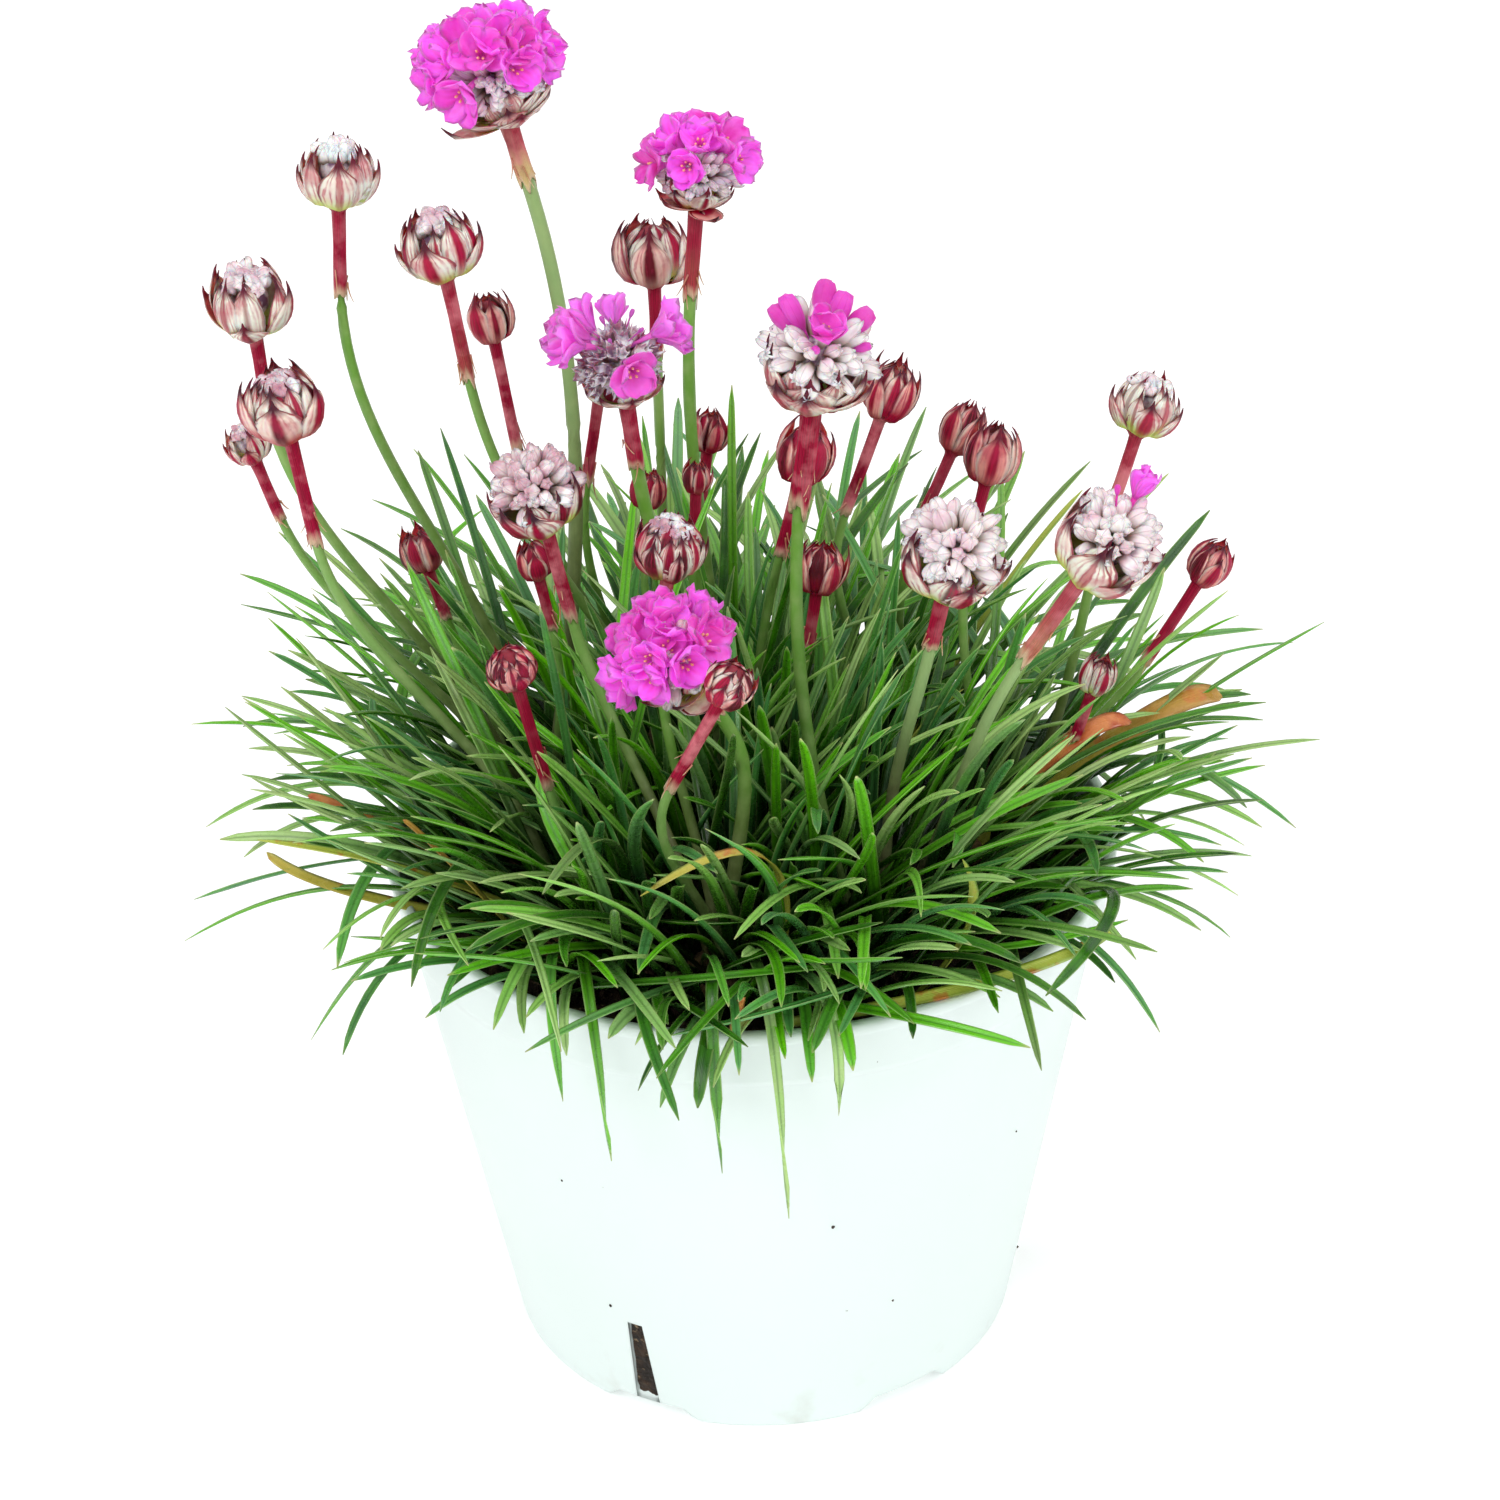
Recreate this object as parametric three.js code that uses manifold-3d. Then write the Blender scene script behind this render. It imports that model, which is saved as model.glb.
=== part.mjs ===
// A thrift in flower in its white nursery pot: millimetres, +Z up, the origin at the
// middle of the pot's underside, and -Y towards the side it is seen from.
import * as THREE from "three";
import { mergeVertices } from "three/addons/utils/BufferGeometryUtils.js";
import Module from "manifold-3d";

const wasm = await Module();
wasm.setup();

// Pot
const potHeight = 91;
const rimRadius = 60;
const baseRadius = 43;
const potWall = 1.2;
const potFloor = 1.6;
const baseChamfer = 1.3;
const collarHeight = 11;
const collarStep = 1.1;
const lipHeight = 2.2;
const lipStep = 0.7;
const potSides = 28;
const notchCount = 6;
const notchHeight = 3;
const notchWidth = 15;
const notchSlope = 1.6;
const notchDepth = 9;
const ledgeWidth = 11;
const firstNotchAngle = -117.5;
const slotEvery = 2;
const slotTop = 22;
const slotWidthLow = 4.6;
const slotWidthHigh = 2.6;

// Soil
const soilTop = 82;
const soilSides = 18;
const soilRelief = 0.5;
const clearance = 0.3;

// Crowns, the short woody stocks that the leaves and stalks grow from
const stockRadius = 4.6;
const stockDepth = 7;
const crownRadius = 7.5;
const crownHeight = 7;
const crownSides = 6;
const crowns = {
  middle: [-2, 14],
  front: [-4, -34],
  front_right: [19, -20],
  right: [38, 2],
  back_right: [24, 30],
  back_left: [-16, 34],
  left: [-34, 6],
  front_left: [-28, -24],
};

// Stalks and the sheaths that their tips stand in
const stalkSegments = 4;
const stalkSides = 4;
const plugDepth = 2;
const boreDepth = 2.4;

// Leaves
const leafSeed = 20;
const leavesPerTuft = 13;
const leafWidth = 2.3;
const leafThickness = 0.9;
const leafSteps = 20;
const stepsPerRing = 5;
const leafReach = 94;
const leafTries = 30;
const leafGap = 1.75;
const goldenAngle = 137.508;

// Leaves that show most, each from its crown over a high point to its tip
const placedLeaves = [
  ["front", [2, -70, 128], [4, -66, 61]],
  ["front", [-8, -70, 124], [-6, -66, 70]],
  ["front_left", [-26, -64, 118], [-23, -62, 70]],
  ["front_left", [-33, -60, 116], [-30, -60, 80]],
  ["front", [14, -64, 114], [12, -63, 78]],
  ["front_left", [-52, -38, 112], [-71, -34, 75]],
  ["front_left", [-62, -24, 108], [-92, -18, 84]],
  ["left", [-66, 4, 110], [-90, 4, 92]],
  ["left", [-62, 12, 112], [-84, 16, 104]],
  ["left", [-56, 18, 118], [-76, 24, 136]],
  ["left", [-44, 14, 128], [-52, 22, 151]],
  ["middle", [-2, 20, 132], [-1, 22, 161]],
  ["middle", [6, 14, 130], [14, 18, 153]],
  ["back_right", [34, 24, 128], [45, 20, 152]],
  ["right", [62, 12, 110], [91, 8, 83]],
  ["right", [60, -10, 112], [82, -14, 97]],
  ["right", [64, 18, 114], [93, 34, 104]],
  ["right", [58, 10, 122], [76, 14, 117]],
  ["front_right", [48, -44, 112], [62, -52, 84]],
  ["front_right", [30, -64, 104], [58, -40, 97]],
  ["back_right", [48, 62, 118], [62, 70, 98]],
  ["back_left", [-30, 68, 120], [-38, 84, 92]],
  ["back_left", [-8, 70, 118], [-4, 88, 96]],
  ["back_right", [22, 68, 120], [30, 86, 94]],
];

// Flowers: crown, stage, width of the head, the middle of the head, the lower end of its sheath,
// and for stalks that show, the middle of the stalk
const flowers = [
  ["01", "left", "open", 24, [-36.8, 20, 217.4], [-32, 19, 199.5], [-27, 18, 139]],
  ["02", "middle", "open", 19, [-5, 22, 200], [-7, 20, 179]],
  ["03", "left", "cup", 12, [-60, 10, 204], [-61, 10, 185], [-47, 8, 138]],
  ["04", "middle", "cup", 12.5, [-45, 5, 194], [-42, 6, 172], [-27, 10, 130]],
  ["05", "left", "cup", 13, [-74, 0, 188], [-73, 2, 170]],
  ["06", "front_left", "cup", 12, [-69, -12, 176], [-66, -10, 152], [-47, -14, 120]],
  ["07", "left", "bud", 7.5, [-78, 12, 158], [-74, 12, 145]],
  ["08", "back_left", "bud", 7, [-39, 22, 173], [-36, 22, 151]],
  ["09", "middle", "faded", 22, [-18, -12, 184], [-16, -10, 164]],
  ["10", "back_left", "cup", 12, [-13, 32, 180], [-13, 30, 164]],
  ["11", "front_right", "half", 18, [12, -22, 188], [9, -18, 161], [9, -23, 124]],
  ["12", "back_right", "bud", 8.5, [24, 22, 158], [17, 20, 139]],
  ["13", "middle", "bud", 6, [-5, 24, 151], [-7, 22, 137]],
  ["14", "middle", "bud", 8.5, [10, 6, 155], [6, 6, 139]],
  ["15", "back_right", "bud", 7.5, [36, 30, 147], [30, 26, 135]],
  ["16", "right", "bud", 8.5, [40, 14, 150], [37, 12, 138]],
  ["17", "front_right", "white", 15, [31, -38, 161], [28, -34, 144], [23, -27, 118]],
  ["18", "front_right", "white", 14.5, [53, -44, 165], [42, -40, 145], [32, -31, 116]],
  ["19", "right", "cup", 11, [64, 8, 162], [59, 6, 146], [52, 4, 115]],
  ["20", "right", "bud", 6.5, [73, -4, 139], [64, -4, 123]],
  ["21", "front", "white", 13.5, [-31, -20, 164], [-27, -16, 141], [-17, -23, 115]],
  ["22", "front", "cup", 11.5, [-11, -24, 156], [-13, -22, 139]],
  ["23", "front", "open", 21.5, [-12, -46, 151], [-5, -40, 137], [-1, -36, 118]],
  ["24", "front", "cup", 8, [-2.5, -58.5, 151.5], [-11.5, -52, 131], [-11, -45, 111]],
  ["25", "front_left", "bud", 8, [-35, -40, 145], [-31, -34, 121], [-28, -28, 104]],
  ["26", "left", "bud", 6.5, [-52, 16, 135], [-49, 16, 124]],
  ["27", "left", "bud", 5.5, [-33, 2, 140], [-31, 2, 129]],
  ["28", "middle", "bud", 5.5, [-15, 12, 147], [-16, 12, 135]],
  ["29", "middle", "bud", 7.5, [12, 2, 137], [10, 2, 124]],
  ["30", "middle", "bud", 4.5, [-7, 4, 153], [-8, 4, 140]],
  ["31", "right", "bud", 5.5, [55, -12, 124], [52, -12, 114]],
  ["32", "back_left", "bud", 6.5, [-22, 26, 161], [-25, 24, 144]],
].map(([label, crown, stage, width, head, joint, middle]) => {
  return { label, crown, stage, width, head, joint, middle };
});

// Heads whose calyces stand clear of the bracts, and heads with corollas out
const withCalyces = ["01", "02", "03", "04", "05", "09", "11", "17", "18", "19", "21", "22"];
const withCorollas = ["01", "02", "09", "11", "18", "23"];

const radians = THREE.MathUtils.degToRad;
const vector = (p) => new THREE.Vector3(...p);

// One seeded stream of numbers from 0 to 1
function drawsFrom(seed) {
  let state = seed >>> 0;
  return () => {
    state = (Math.imul(state, 1664525) + 1013904223) >>> 0;
    return state / 4294967296;
  };
}

// A closed three.js geometry as a solid
function solidOf(geometry) {
  const bare = geometry.clone();
  bare.deleteAttribute("normal");
  bare.deleteAttribute("uv");
  const merged = mergeVertices(bare, 1e-4);
  const faces = [];
  for (let i = 0; i < merged.index.count; i += 3) {
    const face = [merged.index.getX(i), merged.index.getX(i + 1), merged.index.getX(i + 2)];
    if (new Set(face).size === 3) faces.push(...face);
  }
  return new wasm.Manifold(
    new wasm.Mesh({
      numProp: 3,
      vertProperties: new Float32Array(merged.attributes.position.array),
      triVerts: new Uint32Array(faces),
    }),
  );
}

// A closed solid through rings of points; a ring of one point is a tip
function loft(rings) {
  const points = rings.flat();
  const faces = [];
  let start = 0;
  for (let i = 0; i + 1 < rings.length; i++) {
    const [here, there] = [rings[i].length, rings[i + 1].length];
    const next = start + here;
    const sides = Math.max(here, there);
    for (let k = 0; k < sides; k++) {
      const l = (k + 1) % sides;
      if (there > 1) faces.push([start + (here > 1 ? k : 0), next + l, next + k]);
      if (here > 1) faces.push([start + k, start + l, next + (there > 1 ? l : 0)]);
    }
    start = next;
  }
  for (let k = 1; k + 1 < rings[0].length; k++) faces.push([0, k + 1, k]);
  for (let k = 1; k + 1 < rings.at(-1).length; k++) faces.push([start, start + k, start + k + 1]);
  const inside = faces.reduce((sum, [a, b, c]) => {
    return sum + points[a].dot(new THREE.Vector3().crossVectors(points[b], points[c]));
  }, 0);
  if (inside < 0) faces.forEach((face) => face.reverse());
  return new wasm.Manifold(
    new wasm.Mesh({
      numProp: 3,
      vertProperties: new Float32Array(points.flatMap((p) => p.toArray())),
      triVerts: new Uint32Array(faces.flat()),
    }),
  );
}

// Several solids joined, without loose scraps
function joined(solids) {
  const bodies = wasm.Manifold.union(solids).decompose();
  return bodies.reduce((a, b) => (b.volume() > a.volume() ? b : a));
}

// A named mesh of a solid
function meshOf(name, solid, { color, roughness }) {
  const made = solid.getMesh();
  const geometry = new THREE.BufferGeometry();
  geometry.setAttribute("position", new THREE.BufferAttribute(made.vertProperties, 3));
  geometry.setIndex(new THREE.BufferAttribute(made.triVerts, 1));
  geometry.computeVertexNormals();
  const mesh = new THREE.Mesh(geometry, new THREE.MeshStandardMaterial({ color, roughness, metalness: 0 }));
  mesh.name = name;
  return mesh;
}

// A ring of points round a place, in the plane across a direction
function ringOf(centre, along, radius, sides, turn = 0) {
  const frame = new THREE.Quaternion().setFromUnitVectors(new THREE.Vector3(0, 0, 1), along);
  return Array.from({ length: sides }, (_, k) => {
    const angle = turn + (2 * Math.PI * k) / sides;
    return new THREE.Vector3(Math.cos(angle), Math.sin(angle), 0)
      .multiplyScalar(radius)
      .applyQuaternion(frame)
      .add(centre);
  });
}

// A solid turned about +Z from a profile of [radius, height] pairs
function turned(profile, sides) {
  const lathe = new THREE.LatheGeometry(
    profile.map(([r, z]) => new THREE.Vector2(r, z)),
    sides,
  );
  return solidOf(lathe.rotateX(Math.PI / 2));
}

// Pot

const ledgeTop = notchHeight + potFloor;
const bodyTop = potHeight - collarHeight;
const bodyTopRadius = rimRadius - lipStep - collarStep - 0.8;

// The outer radius of the pot's plain body at a height
function bodyRadius(z) {
  return THREE.MathUtils.mapLinear(z, baseChamfer, bodyTop, baseRadius, bodyTopRadius);
}

// A cutter through the wall at an angle, from its outline [sideways, height]
function radialCutter(outline, inner, outer, angle) {
  const shape = new THREE.Shape(outline.map(([x, z]) => new THREE.Vector2(x, z)));
  const block = new THREE.ExtrudeGeometry(shape, { depth: outer - inner, bevelEnabled: false });
  block.rotateX(Math.PI / 2);
  block.translate(0, -inner, 0);
  block.rotateZ(radians(angle + 90));
  return solidOf(block);
}

// The pot: a shell turned from its profile, with notches under its edge and slots over some of them
function potSolid() {
  const collarRadius = bodyTopRadius + collarStep;
  const lipBottom = potHeight - lipHeight;
  let pot = turned(
    [
      [0, 0],
      [baseRadius - baseChamfer, 0],
      [baseRadius, baseChamfer],
      [bodyTopRadius, bodyTop],
      [collarRadius, bodyTop + collarStep],
      [rimRadius - lipStep, lipBottom],
      [rimRadius, potHeight],
      [rimRadius - lipStep - potWall, potHeight],
      [collarRadius - potWall, bodyTop + potWall],
      [bodyRadius(bodyTop - potWall) - potWall, bodyTop - potWall],
      [bodyRadius(ledgeTop) - potWall, ledgeTop],
      [baseRadius - ledgeWidth, ledgeTop],
      [baseRadius - ledgeWidth, potFloor],
      [0, potFloor],
    ],
    potSides,
  );
  const half = notchWidth / 2;
  const notch = [
    [-half - notchSlope, -1],
    [half + notchSlope, -1],
    [half - notchSlope, notchHeight],
    [-half + notchSlope, notchHeight],
  ];
  const slot = [
    [-slotWidthLow / 2, notchHeight - 1],
    [slotWidthLow / 2, notchHeight - 1],
    [slotWidthHigh / 2, slotTop],
    [-slotWidthHigh / 2, slotTop],
  ];
  const inner = baseRadius - notchDepth;
  for (let k = 0; k < notchCount; k++) {
    const angle = firstNotchAngle + (360 * k) / notchCount;
    pot = pot.subtract(radialCutter(notch, inner, baseRadius + 5, angle));
    if (k % slotEvery === 0) pot = pot.subtract(radialCutter(slot, baseRadius - 4, baseRadius + 8, angle));
  }
  return pot;
}

// Soil

// Height of the soil's crumbled surface at a place
function soilHeight(x, y) {
  const ripple = Math.sin(x * 0.31 + 1) * Math.cos(y * 0.27);
  return soilTop + soilRelief * (ripple + 0.5 * Math.sin(x * 0.11 - y * 0.17));
}

// The soil that fills the pot, with a plain hole for each crown's stock
function soilSolid() {
  const bottom = ledgeTop + clearance;
  const radiusAt = (z) => bodyRadius(z) - potWall - clearance - 0.2;
  const rings = [[new THREE.Vector3(0, 0, potFloor + clearance)]];
  const ring = (radius, height) =>
    Array.from({ length: soilSides }, (_, k) => {
      const angle = (2 * Math.PI * k) / soilSides;
      const [x, y] = [radius * Math.cos(angle), radius * Math.sin(angle)];
      return new THREE.Vector3(x, y, height(x, y));
    });
  const well = baseRadius - ledgeWidth - clearance - 0.2;
  rings.push(ring(well, () => potFloor + clearance));
  rings.push(ring(well, () => bottom));
  rings.push(ring(radiusAt(bottom), () => bottom));
  const edge = radiusAt(bodyTop - 2);
  rings.push(ring(edge, () => bodyTop - 2));
  for (const share of [0.98, 0.5]) rings.push(ring(edge * share, soilHeight));
  rings.push([new THREE.Vector3(0, 0, soilHeight(0, 0))]);
  let soil = loft(rings);
  for (const [x, y] of Object.values(crowns)) {
    const hole = new THREE.CylinderGeometry(1, 1, 20, crownSides).rotateX(Math.PI / 2);
    const wide = (stockRadius + clearance) / Math.cos(Math.PI / crownSides);
    hole.scale(wide, wide, 1).translate(x, y, soilTop - stockDepth - clearance + 10);
    soil = soil.subtract(solidOf(hole));
  }
  return soil;
}

// Stalks, each with a slimmer tip that stands in its sheath

// A flower's places in full: its head, its sheath's ends, its direction and its stalk's root and radius
function measuresOf(flower) {
  const head = vector(flower.head);
  const joint = vector(flower.joint);
  const along = head.clone().sub(joint).normalize();
  const depth = { open: 0.42, faded: 0.44, half: 0.56, white: 0.5, cup: 0.5, bud: 0.5 }[flower.stage];
  const neck = head.clone().addScaledVector(along, -depth * flower.width);
  const radius = 0.6 + 0.025 * flower.width;
  const [x, y] = crowns[flower.crown];
  const outward = new THREE.Vector3(head.x - x, head.y - y, 0).normalize();
  const root = new THREE.Vector3(x, y, soilTop + 4).addScaledVector(outward, 3.2);
  return { head, joint, along, neck, radius, root, middle: flower.middle };
}

// The line of a flower's stalk, from its crown to the sheath's lower end, through its middle if given
function stalkCurve({ root, joint, along, middle }) {
  const pull = 0.36 * root.distanceTo(joint);
  const upper = joint.clone().addScaledVector(along, -pull);
  const lower = root.clone().add(new THREE.Vector3(0, 0, pull));
  if (middle) {
    lower.copy(vector(middle)).multiplyScalar(8).sub(root).sub(joint);
    lower.addScaledVector(upper, -3).divideScalar(3);
  }
  return new THREE.CubicBezierCurve3(root, lower, upper, joint);
}

// A stalk, from inside its crown to inside its sheath
function stalkSolid(flower) {
  const measures = measuresOf(flower);
  const { joint, along, radius } = measures;
  const curve = stalkCurve(measures);
  const rings = [];
  for (let i = 0; i <= stalkSegments; i++) {
    const last = i === stalkSegments;
    const place = curve.getPoint(last ? 1 : i / stalkSegments);
    if (last) place.addScaledVector(along, -clearance);
    const thick = radius * (1.1 - (0.1 * i) / stalkSegments);
    rings.push(ringOf(place, curve.getTangent(i / stalkSegments), thick, stalkSides));
  }
  for (const d of [0.05 - clearance, plugDepth]) {
    rings.push(ringOf(joint.clone().addScaledVector(along, d), along, radius / 2, stalkSides));
  }
  return loft(rings);
}

// Leaves

const rootHeight = soilTop + 3.5;

// A placed leaf's line, from its crown over the high point to its tip
function placedLine(crown, over, tip) {
  const [x, y] = crowns[crown];
  const root = new THREE.Vector3(x, y, rootHeight);
  const outward = vector(over).setZ(rootHeight).sub(root).normalize();
  root.addScaledVector(outward, 2.5);
  const curve = new THREE.QuadraticBezierCurve3(root, vector(over), vector(tip));
  const line = [];
  for (let i = 0; i <= leafSteps; i++) line.push(curve.getPoint(i / leafSteps));
  return line;
}

// A drawn leaf's line: it starts steep in the middle of its tuft and flat at its edge, and droops
function drawnLine([x, y], index, count, draw) {
  const rank = (index + 0.5) / count;
  const spread = Math.hypot(x, y) / 40;
  const azimuth = radians(index * goldenAngle + 50 * (draw() - 0.5));
  const lean = radians(6 + 52 * rank + 14 * (draw() - 0.5));
  const start = [
    Math.cos(azimuth) * Math.sin(lean) + (0.5 * spread * x) / 40,
    Math.sin(azimuth) * Math.sin(lean) + (0.5 * spread * y) / 40,
    Math.cos(lean),
  ];
  const heading = Math.atan2(start[1], start[0]);
  const rise = Math.atan2(start[2], Math.hypot(start[0], start[1]));
  const droop = radians(12 + 62 * draw() * (0.45 + 0.55 * rank));
  const curl = radians(44 * (draw() - 0.5));
  const length = 44 + 16 * rank + 24 * draw();
  const out = 5.4 * Math.sqrt(rank);
  const point = new THREE.Vector3(x + Math.cos(azimuth) * out, y + Math.sin(azimuth) * out, rootHeight);
  const line = [point];
  for (let i = 1; i <= leafSteps; i++) {
    const u = (i - 0.5) / leafSteps;
    const elevation = rise - droop * u ** 1.4;
    const turn = heading + curl * u;
    const step = length / leafSteps;
    line.push(
      new THREE.Vector3(
        line[i - 1].x + step * Math.cos(elevation) * Math.cos(turn),
        line[i - 1].y + step * Math.cos(elevation) * Math.sin(turn),
        line[i - 1].z + step * Math.sin(elevation),
      ),
    );
  }
  return line;
}

// True where a point is clear of the pot, its rim and the soil
function clearOfPot(p) {
  const r = Math.hypot(p.x, p.y);
  if (p.z > potHeight + 2) return r < leafReach;
  if (r > rimRadius + 1.8) return r < leafReach && p.z > 55;
  return r < rimRadius - lipStep - potWall - 3 && p.z > soilTop + 2.2;
}

// The distance from a point to the line between two others
function distanceToSegment(p, a, b) {
  const [dx, dy, dz] = [b.x - a.x, b.y - a.y, b.z - a.z];
  const along = ((p.x - a.x) * dx + (p.y - a.y) * dy + (p.z - a.z) * dz) / (dx * dx + dy * dy + dz * dz);
  const t = Math.min(1, Math.max(0, along));
  return Math.hypot(p.x - a.x - t * dx, p.y - a.y - t * dy, p.z - a.z - t * dz);
}

// True where a leaf's line keeps clear of each thing in the way, apart from near its own crown
function clearOf(line, crown, obstacles) {
  return line.every((p, i) => {
    if (i > 3 && !clearOfPot(p)) return false;
    return obstacles.every((o) => {
      if (o.crown === crown && i < (o.leaf ? 3 : 5)) return true;
      return distanceToSegment(p, o.from, o.to) >= o.radius + leafGap;
    });
  });
}

// A leaf: a flat upper face and a keel below, widest before its middle, drawn in to a fine tip
function leafSolid(line) {
  const rings = [];
  for (let i = 0; i < leafSteps; i += stepsPerRing) {
    const ahead = line[i + 1].clone().sub(line[Math.max(0, i - 1)]).normalize();
    const side = new THREE.Vector3(-ahead.y, ahead.x, 0).normalize();
    const up = new THREE.Vector3().crossVectors(ahead, side);
    const u = i / leafSteps;
    const wide = leafWidth * (0.68 + 0.64 * Math.sin(Math.PI * u ** 0.9) ** 0.7 - 0.32 * u);
    rings.push([
      line[i].clone().addScaledVector(side, wide / 2),
      line[i].clone().addScaledVector(side, -wide / 2),
      line[i].clone().addScaledVector(up, -leafThickness),
    ]);
  }
  rings.push([line[leafSteps]]);
  return loft(rings);
}

// A crown: a low dome on a stock that stands in the soil
function crownSolid([x, y]) {
  const crown = turned(
    [
      [0, soilTop - stockDepth],
      [stockRadius, soilTop - stockDepth],
      [stockRadius, soilTop + 1.4],
      [crownRadius, soilTop + 3.2],
      [crownRadius * 0.7, soilTop + crownHeight - 1.4],
      [0, soilTop + crownHeight],
    ],
    crownSides,
  );
  return crown.translate([x, y, 0]);
}

// What leaves must keep clear of: stalks, sheaths, heads and crowns, as fat lines
function flowerObstacles() {
  const found = [];
  for (const flower of flowers) {
    const measures = measuresOf(flower);
    const { head, joint, neck, radius } = measures;
    const curve = stalkCurve(measures);
    const count = 10;
    for (let i = 0; i < count; i++) {
      const [from, to] = [curve.getPoint(i / count), curve.getPoint((i + 1) / count)];
      found.push({ crown: flower.crown, from, to, radius });
    }
    found.push({ crown: "", from: joint, to: neck, radius: radius + 0.8 });
    found.push({ crown: "", from: head.clone().lerp(neck, 0.3), to: head, radius: flower.width / 2 - 0.6 });
  }
  for (const [crown, [x, y]] of Object.entries(crowns)) {
    const from = new THREE.Vector3(x, y, soilTop);
    found.push({ crown, from, to: from.clone().setZ(soilTop + 4), radius: crownRadius - 1 });
  }
  return found;
}

// Each tuft's leaf lines, each leaf drawn again until it is clear of what stands before it
function leafLines() {
  const draw = drawsFrom(leafSeed);
  const obstacles = flowerObstacles();
  const lines = Object.fromEntries(Object.keys(crowns).map((crown) => [crown, []]));
  const keep = (crown, line) => {
    lines[crown].push(line);
    for (let i = 0; i < leafSteps; i += 2) {
      obstacles.push({ crown, leaf: true, from: line[i], to: line[i + 2], radius: leafWidth / 2 - 0.3 });
    }
  };
  for (const [crown, over, tip] of placedLeaves) keep(crown, placedLine(crown, over, tip));
  for (let index = 0; index < leavesPerTuft; index++) {
    for (const [crown, place] of Object.entries(crowns)) {
      for (let tries = 0; tries < leafTries; tries++) {
        const line = drawnLine(place, index, leavesPerTuft, draw);
        if (clearOf(line, crown, obstacles)) {
          keep(crown, line);
          break;
        }
      }
    }
  }
  return lines;
}

// Flower heads, each made upright with its neck at the origin

// The place at an azimuth and polar angle from a centre on the head's axis, in degrees
function onBall(height, radius, azimuth, polar) {
  const [a, p] = [radians(azimuth), radians(polar)];
  return new THREE.Vector3(
    radius * Math.sin(p) * Math.cos(a),
    radius * Math.sin(p) * Math.sin(a),
    height + radius * Math.cos(p),
  );
}

// A bract: a boat-shaped scale that follows a ball up from the head's neck to a free tip
function bractSolid({ height, radius, foot, azimuth, half, high, tip, flare }) {
  const out = radius + flare * 0.3;
  return loft([
    [new THREE.Vector3(0, 0, foot).add(onBall(0, foot, azimuth, 90))],
    [
      onBall(height, out, azimuth - half, high),
      onBall(height, out, azimuth + half, high),
      onBall(height, out + 0.8, azimuth, high),
    ],
    [onBall(height, radius + flare, azimuth, tip)],
  ]);
}

// The sheath round the stalk's end, open below, widening above to the cup's floor and core
function sheathSolid(length, radius, cup, core, tip) {
  const axis = new THREE.Vector3(0, 0, 1);
  const at = (z) => new THREE.Vector3(0, 0, z);
  const outer = radius + 0.3;
  const rings = [
    ringOf(at(-length), axis, outer * 1.12, 5),
    ringOf(at(0), axis, outer, 5),
    ringOf(at(cup * 0.15), axis, cup * 0.27, 5),
  ];
  if (core > 0) rings.push(ringOf(at(cup * 0.55), axis, cup * core, 5));
  rings.push([at(cup * tip)]);
  const bore = (radius / 2 + clearance) / Math.cos(Math.PI / 4);
  const hole = [-1, boreDepth].map((z) => ringOf(at(z - length), axis, bore, 4));
  return loft(rings).subtract(loft(hole));
}

// Whorls of bracts for each stage: count, polar angles of shoulder and tip, half width and flare
const whorls = {
  bud: [[5, 84, 14, 33, 0.1]],
  cup: [[5, 96, 60, 33, 0.5], [5, 80, 44, 31, 0.1]],
  white: [[5, 110, 90, 30, 1.3], [5, 100, 78, 28, 0.4]],
  half: [[5, 118, 98, 30, 2.6], [5, 112, 92, 27, 1.2]],
  open: [[5, 124, 106, 30, 3], [5, 116, 94, 27, 1.5]],
  faded: [[5, 124, 106, 30, 1.5], [5, 116, 94, 27, 0.5]],
};

// The width of the bract cup against the whole head, with corollas where they are out
const cupShare = { bud: 1, cup: 1, white: 1, half: 0.8, open: 0.52, faded: 0.55 };

// A head whose corollas spread over the whole of it
const isBlooming = ({ stage }) => stage === "open" || stage === "faded";

// The core that fills a head's cup where no calyces do: its radius and its top, as shares of the cup
function coreOf({ label, stage }) {
  if (withCalyces.includes(label)) return [0, 0.28];
  if (withCorollas.includes(label)) return [0.2, 0.68];
  return [stage === "bud" ? 0.34 : 0.22, 0.92];
}

// A head: its sheath with the whorls of bracts on it
function headSolid(flower, length) {
  const cup = flower.width * cupShare[flower.stage];
  const { radius } = measuresOf(flower);
  const [core, tip] = coreOf(flower);
  const solids = [sheathSolid(length, radius, cup, core, tip)];
  const height = cup * 0.5;
  whorls[flower.stage].forEach(([count, high, tip, half, flare], row) => {
    for (let k = 0; k < count; k++) {
      const azimuth = (360 * (k + row * 0.5)) / count;
      const [radius, foot] = [cup * (0.47 - 0.12 * row), cup * (0.15 - 0.03 * row)];
      solids.push(bractSolid({ height, radius, foot, azimuth, half, high, tip, flare }));
    }
  });
  return joined(solids);
}

// A papery cup from its foot to a flared rim with a shallow hollow
function funnel(foot, rim, radius, sides) {
  const along = rim.clone().sub(foot);
  const hollow = foot.clone().addScaledVector(along, 0.72);
  return loft([[foot], ringOf(rim, along.normalize(), radius, sides), [hollow]]);
}

// Calyces: count, polar angles of the first and the last, share of the cup's width they reach
const calyxPlans = {
  cup: [6, 0, 34, 0.5],
  white: [12, 0, 72, 0.5],
  half: [11, 50, 84, 0.58],
  open: [6, 66, 82, 0.62],
  faded: [11, 44, 84, 0.52],
};

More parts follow.
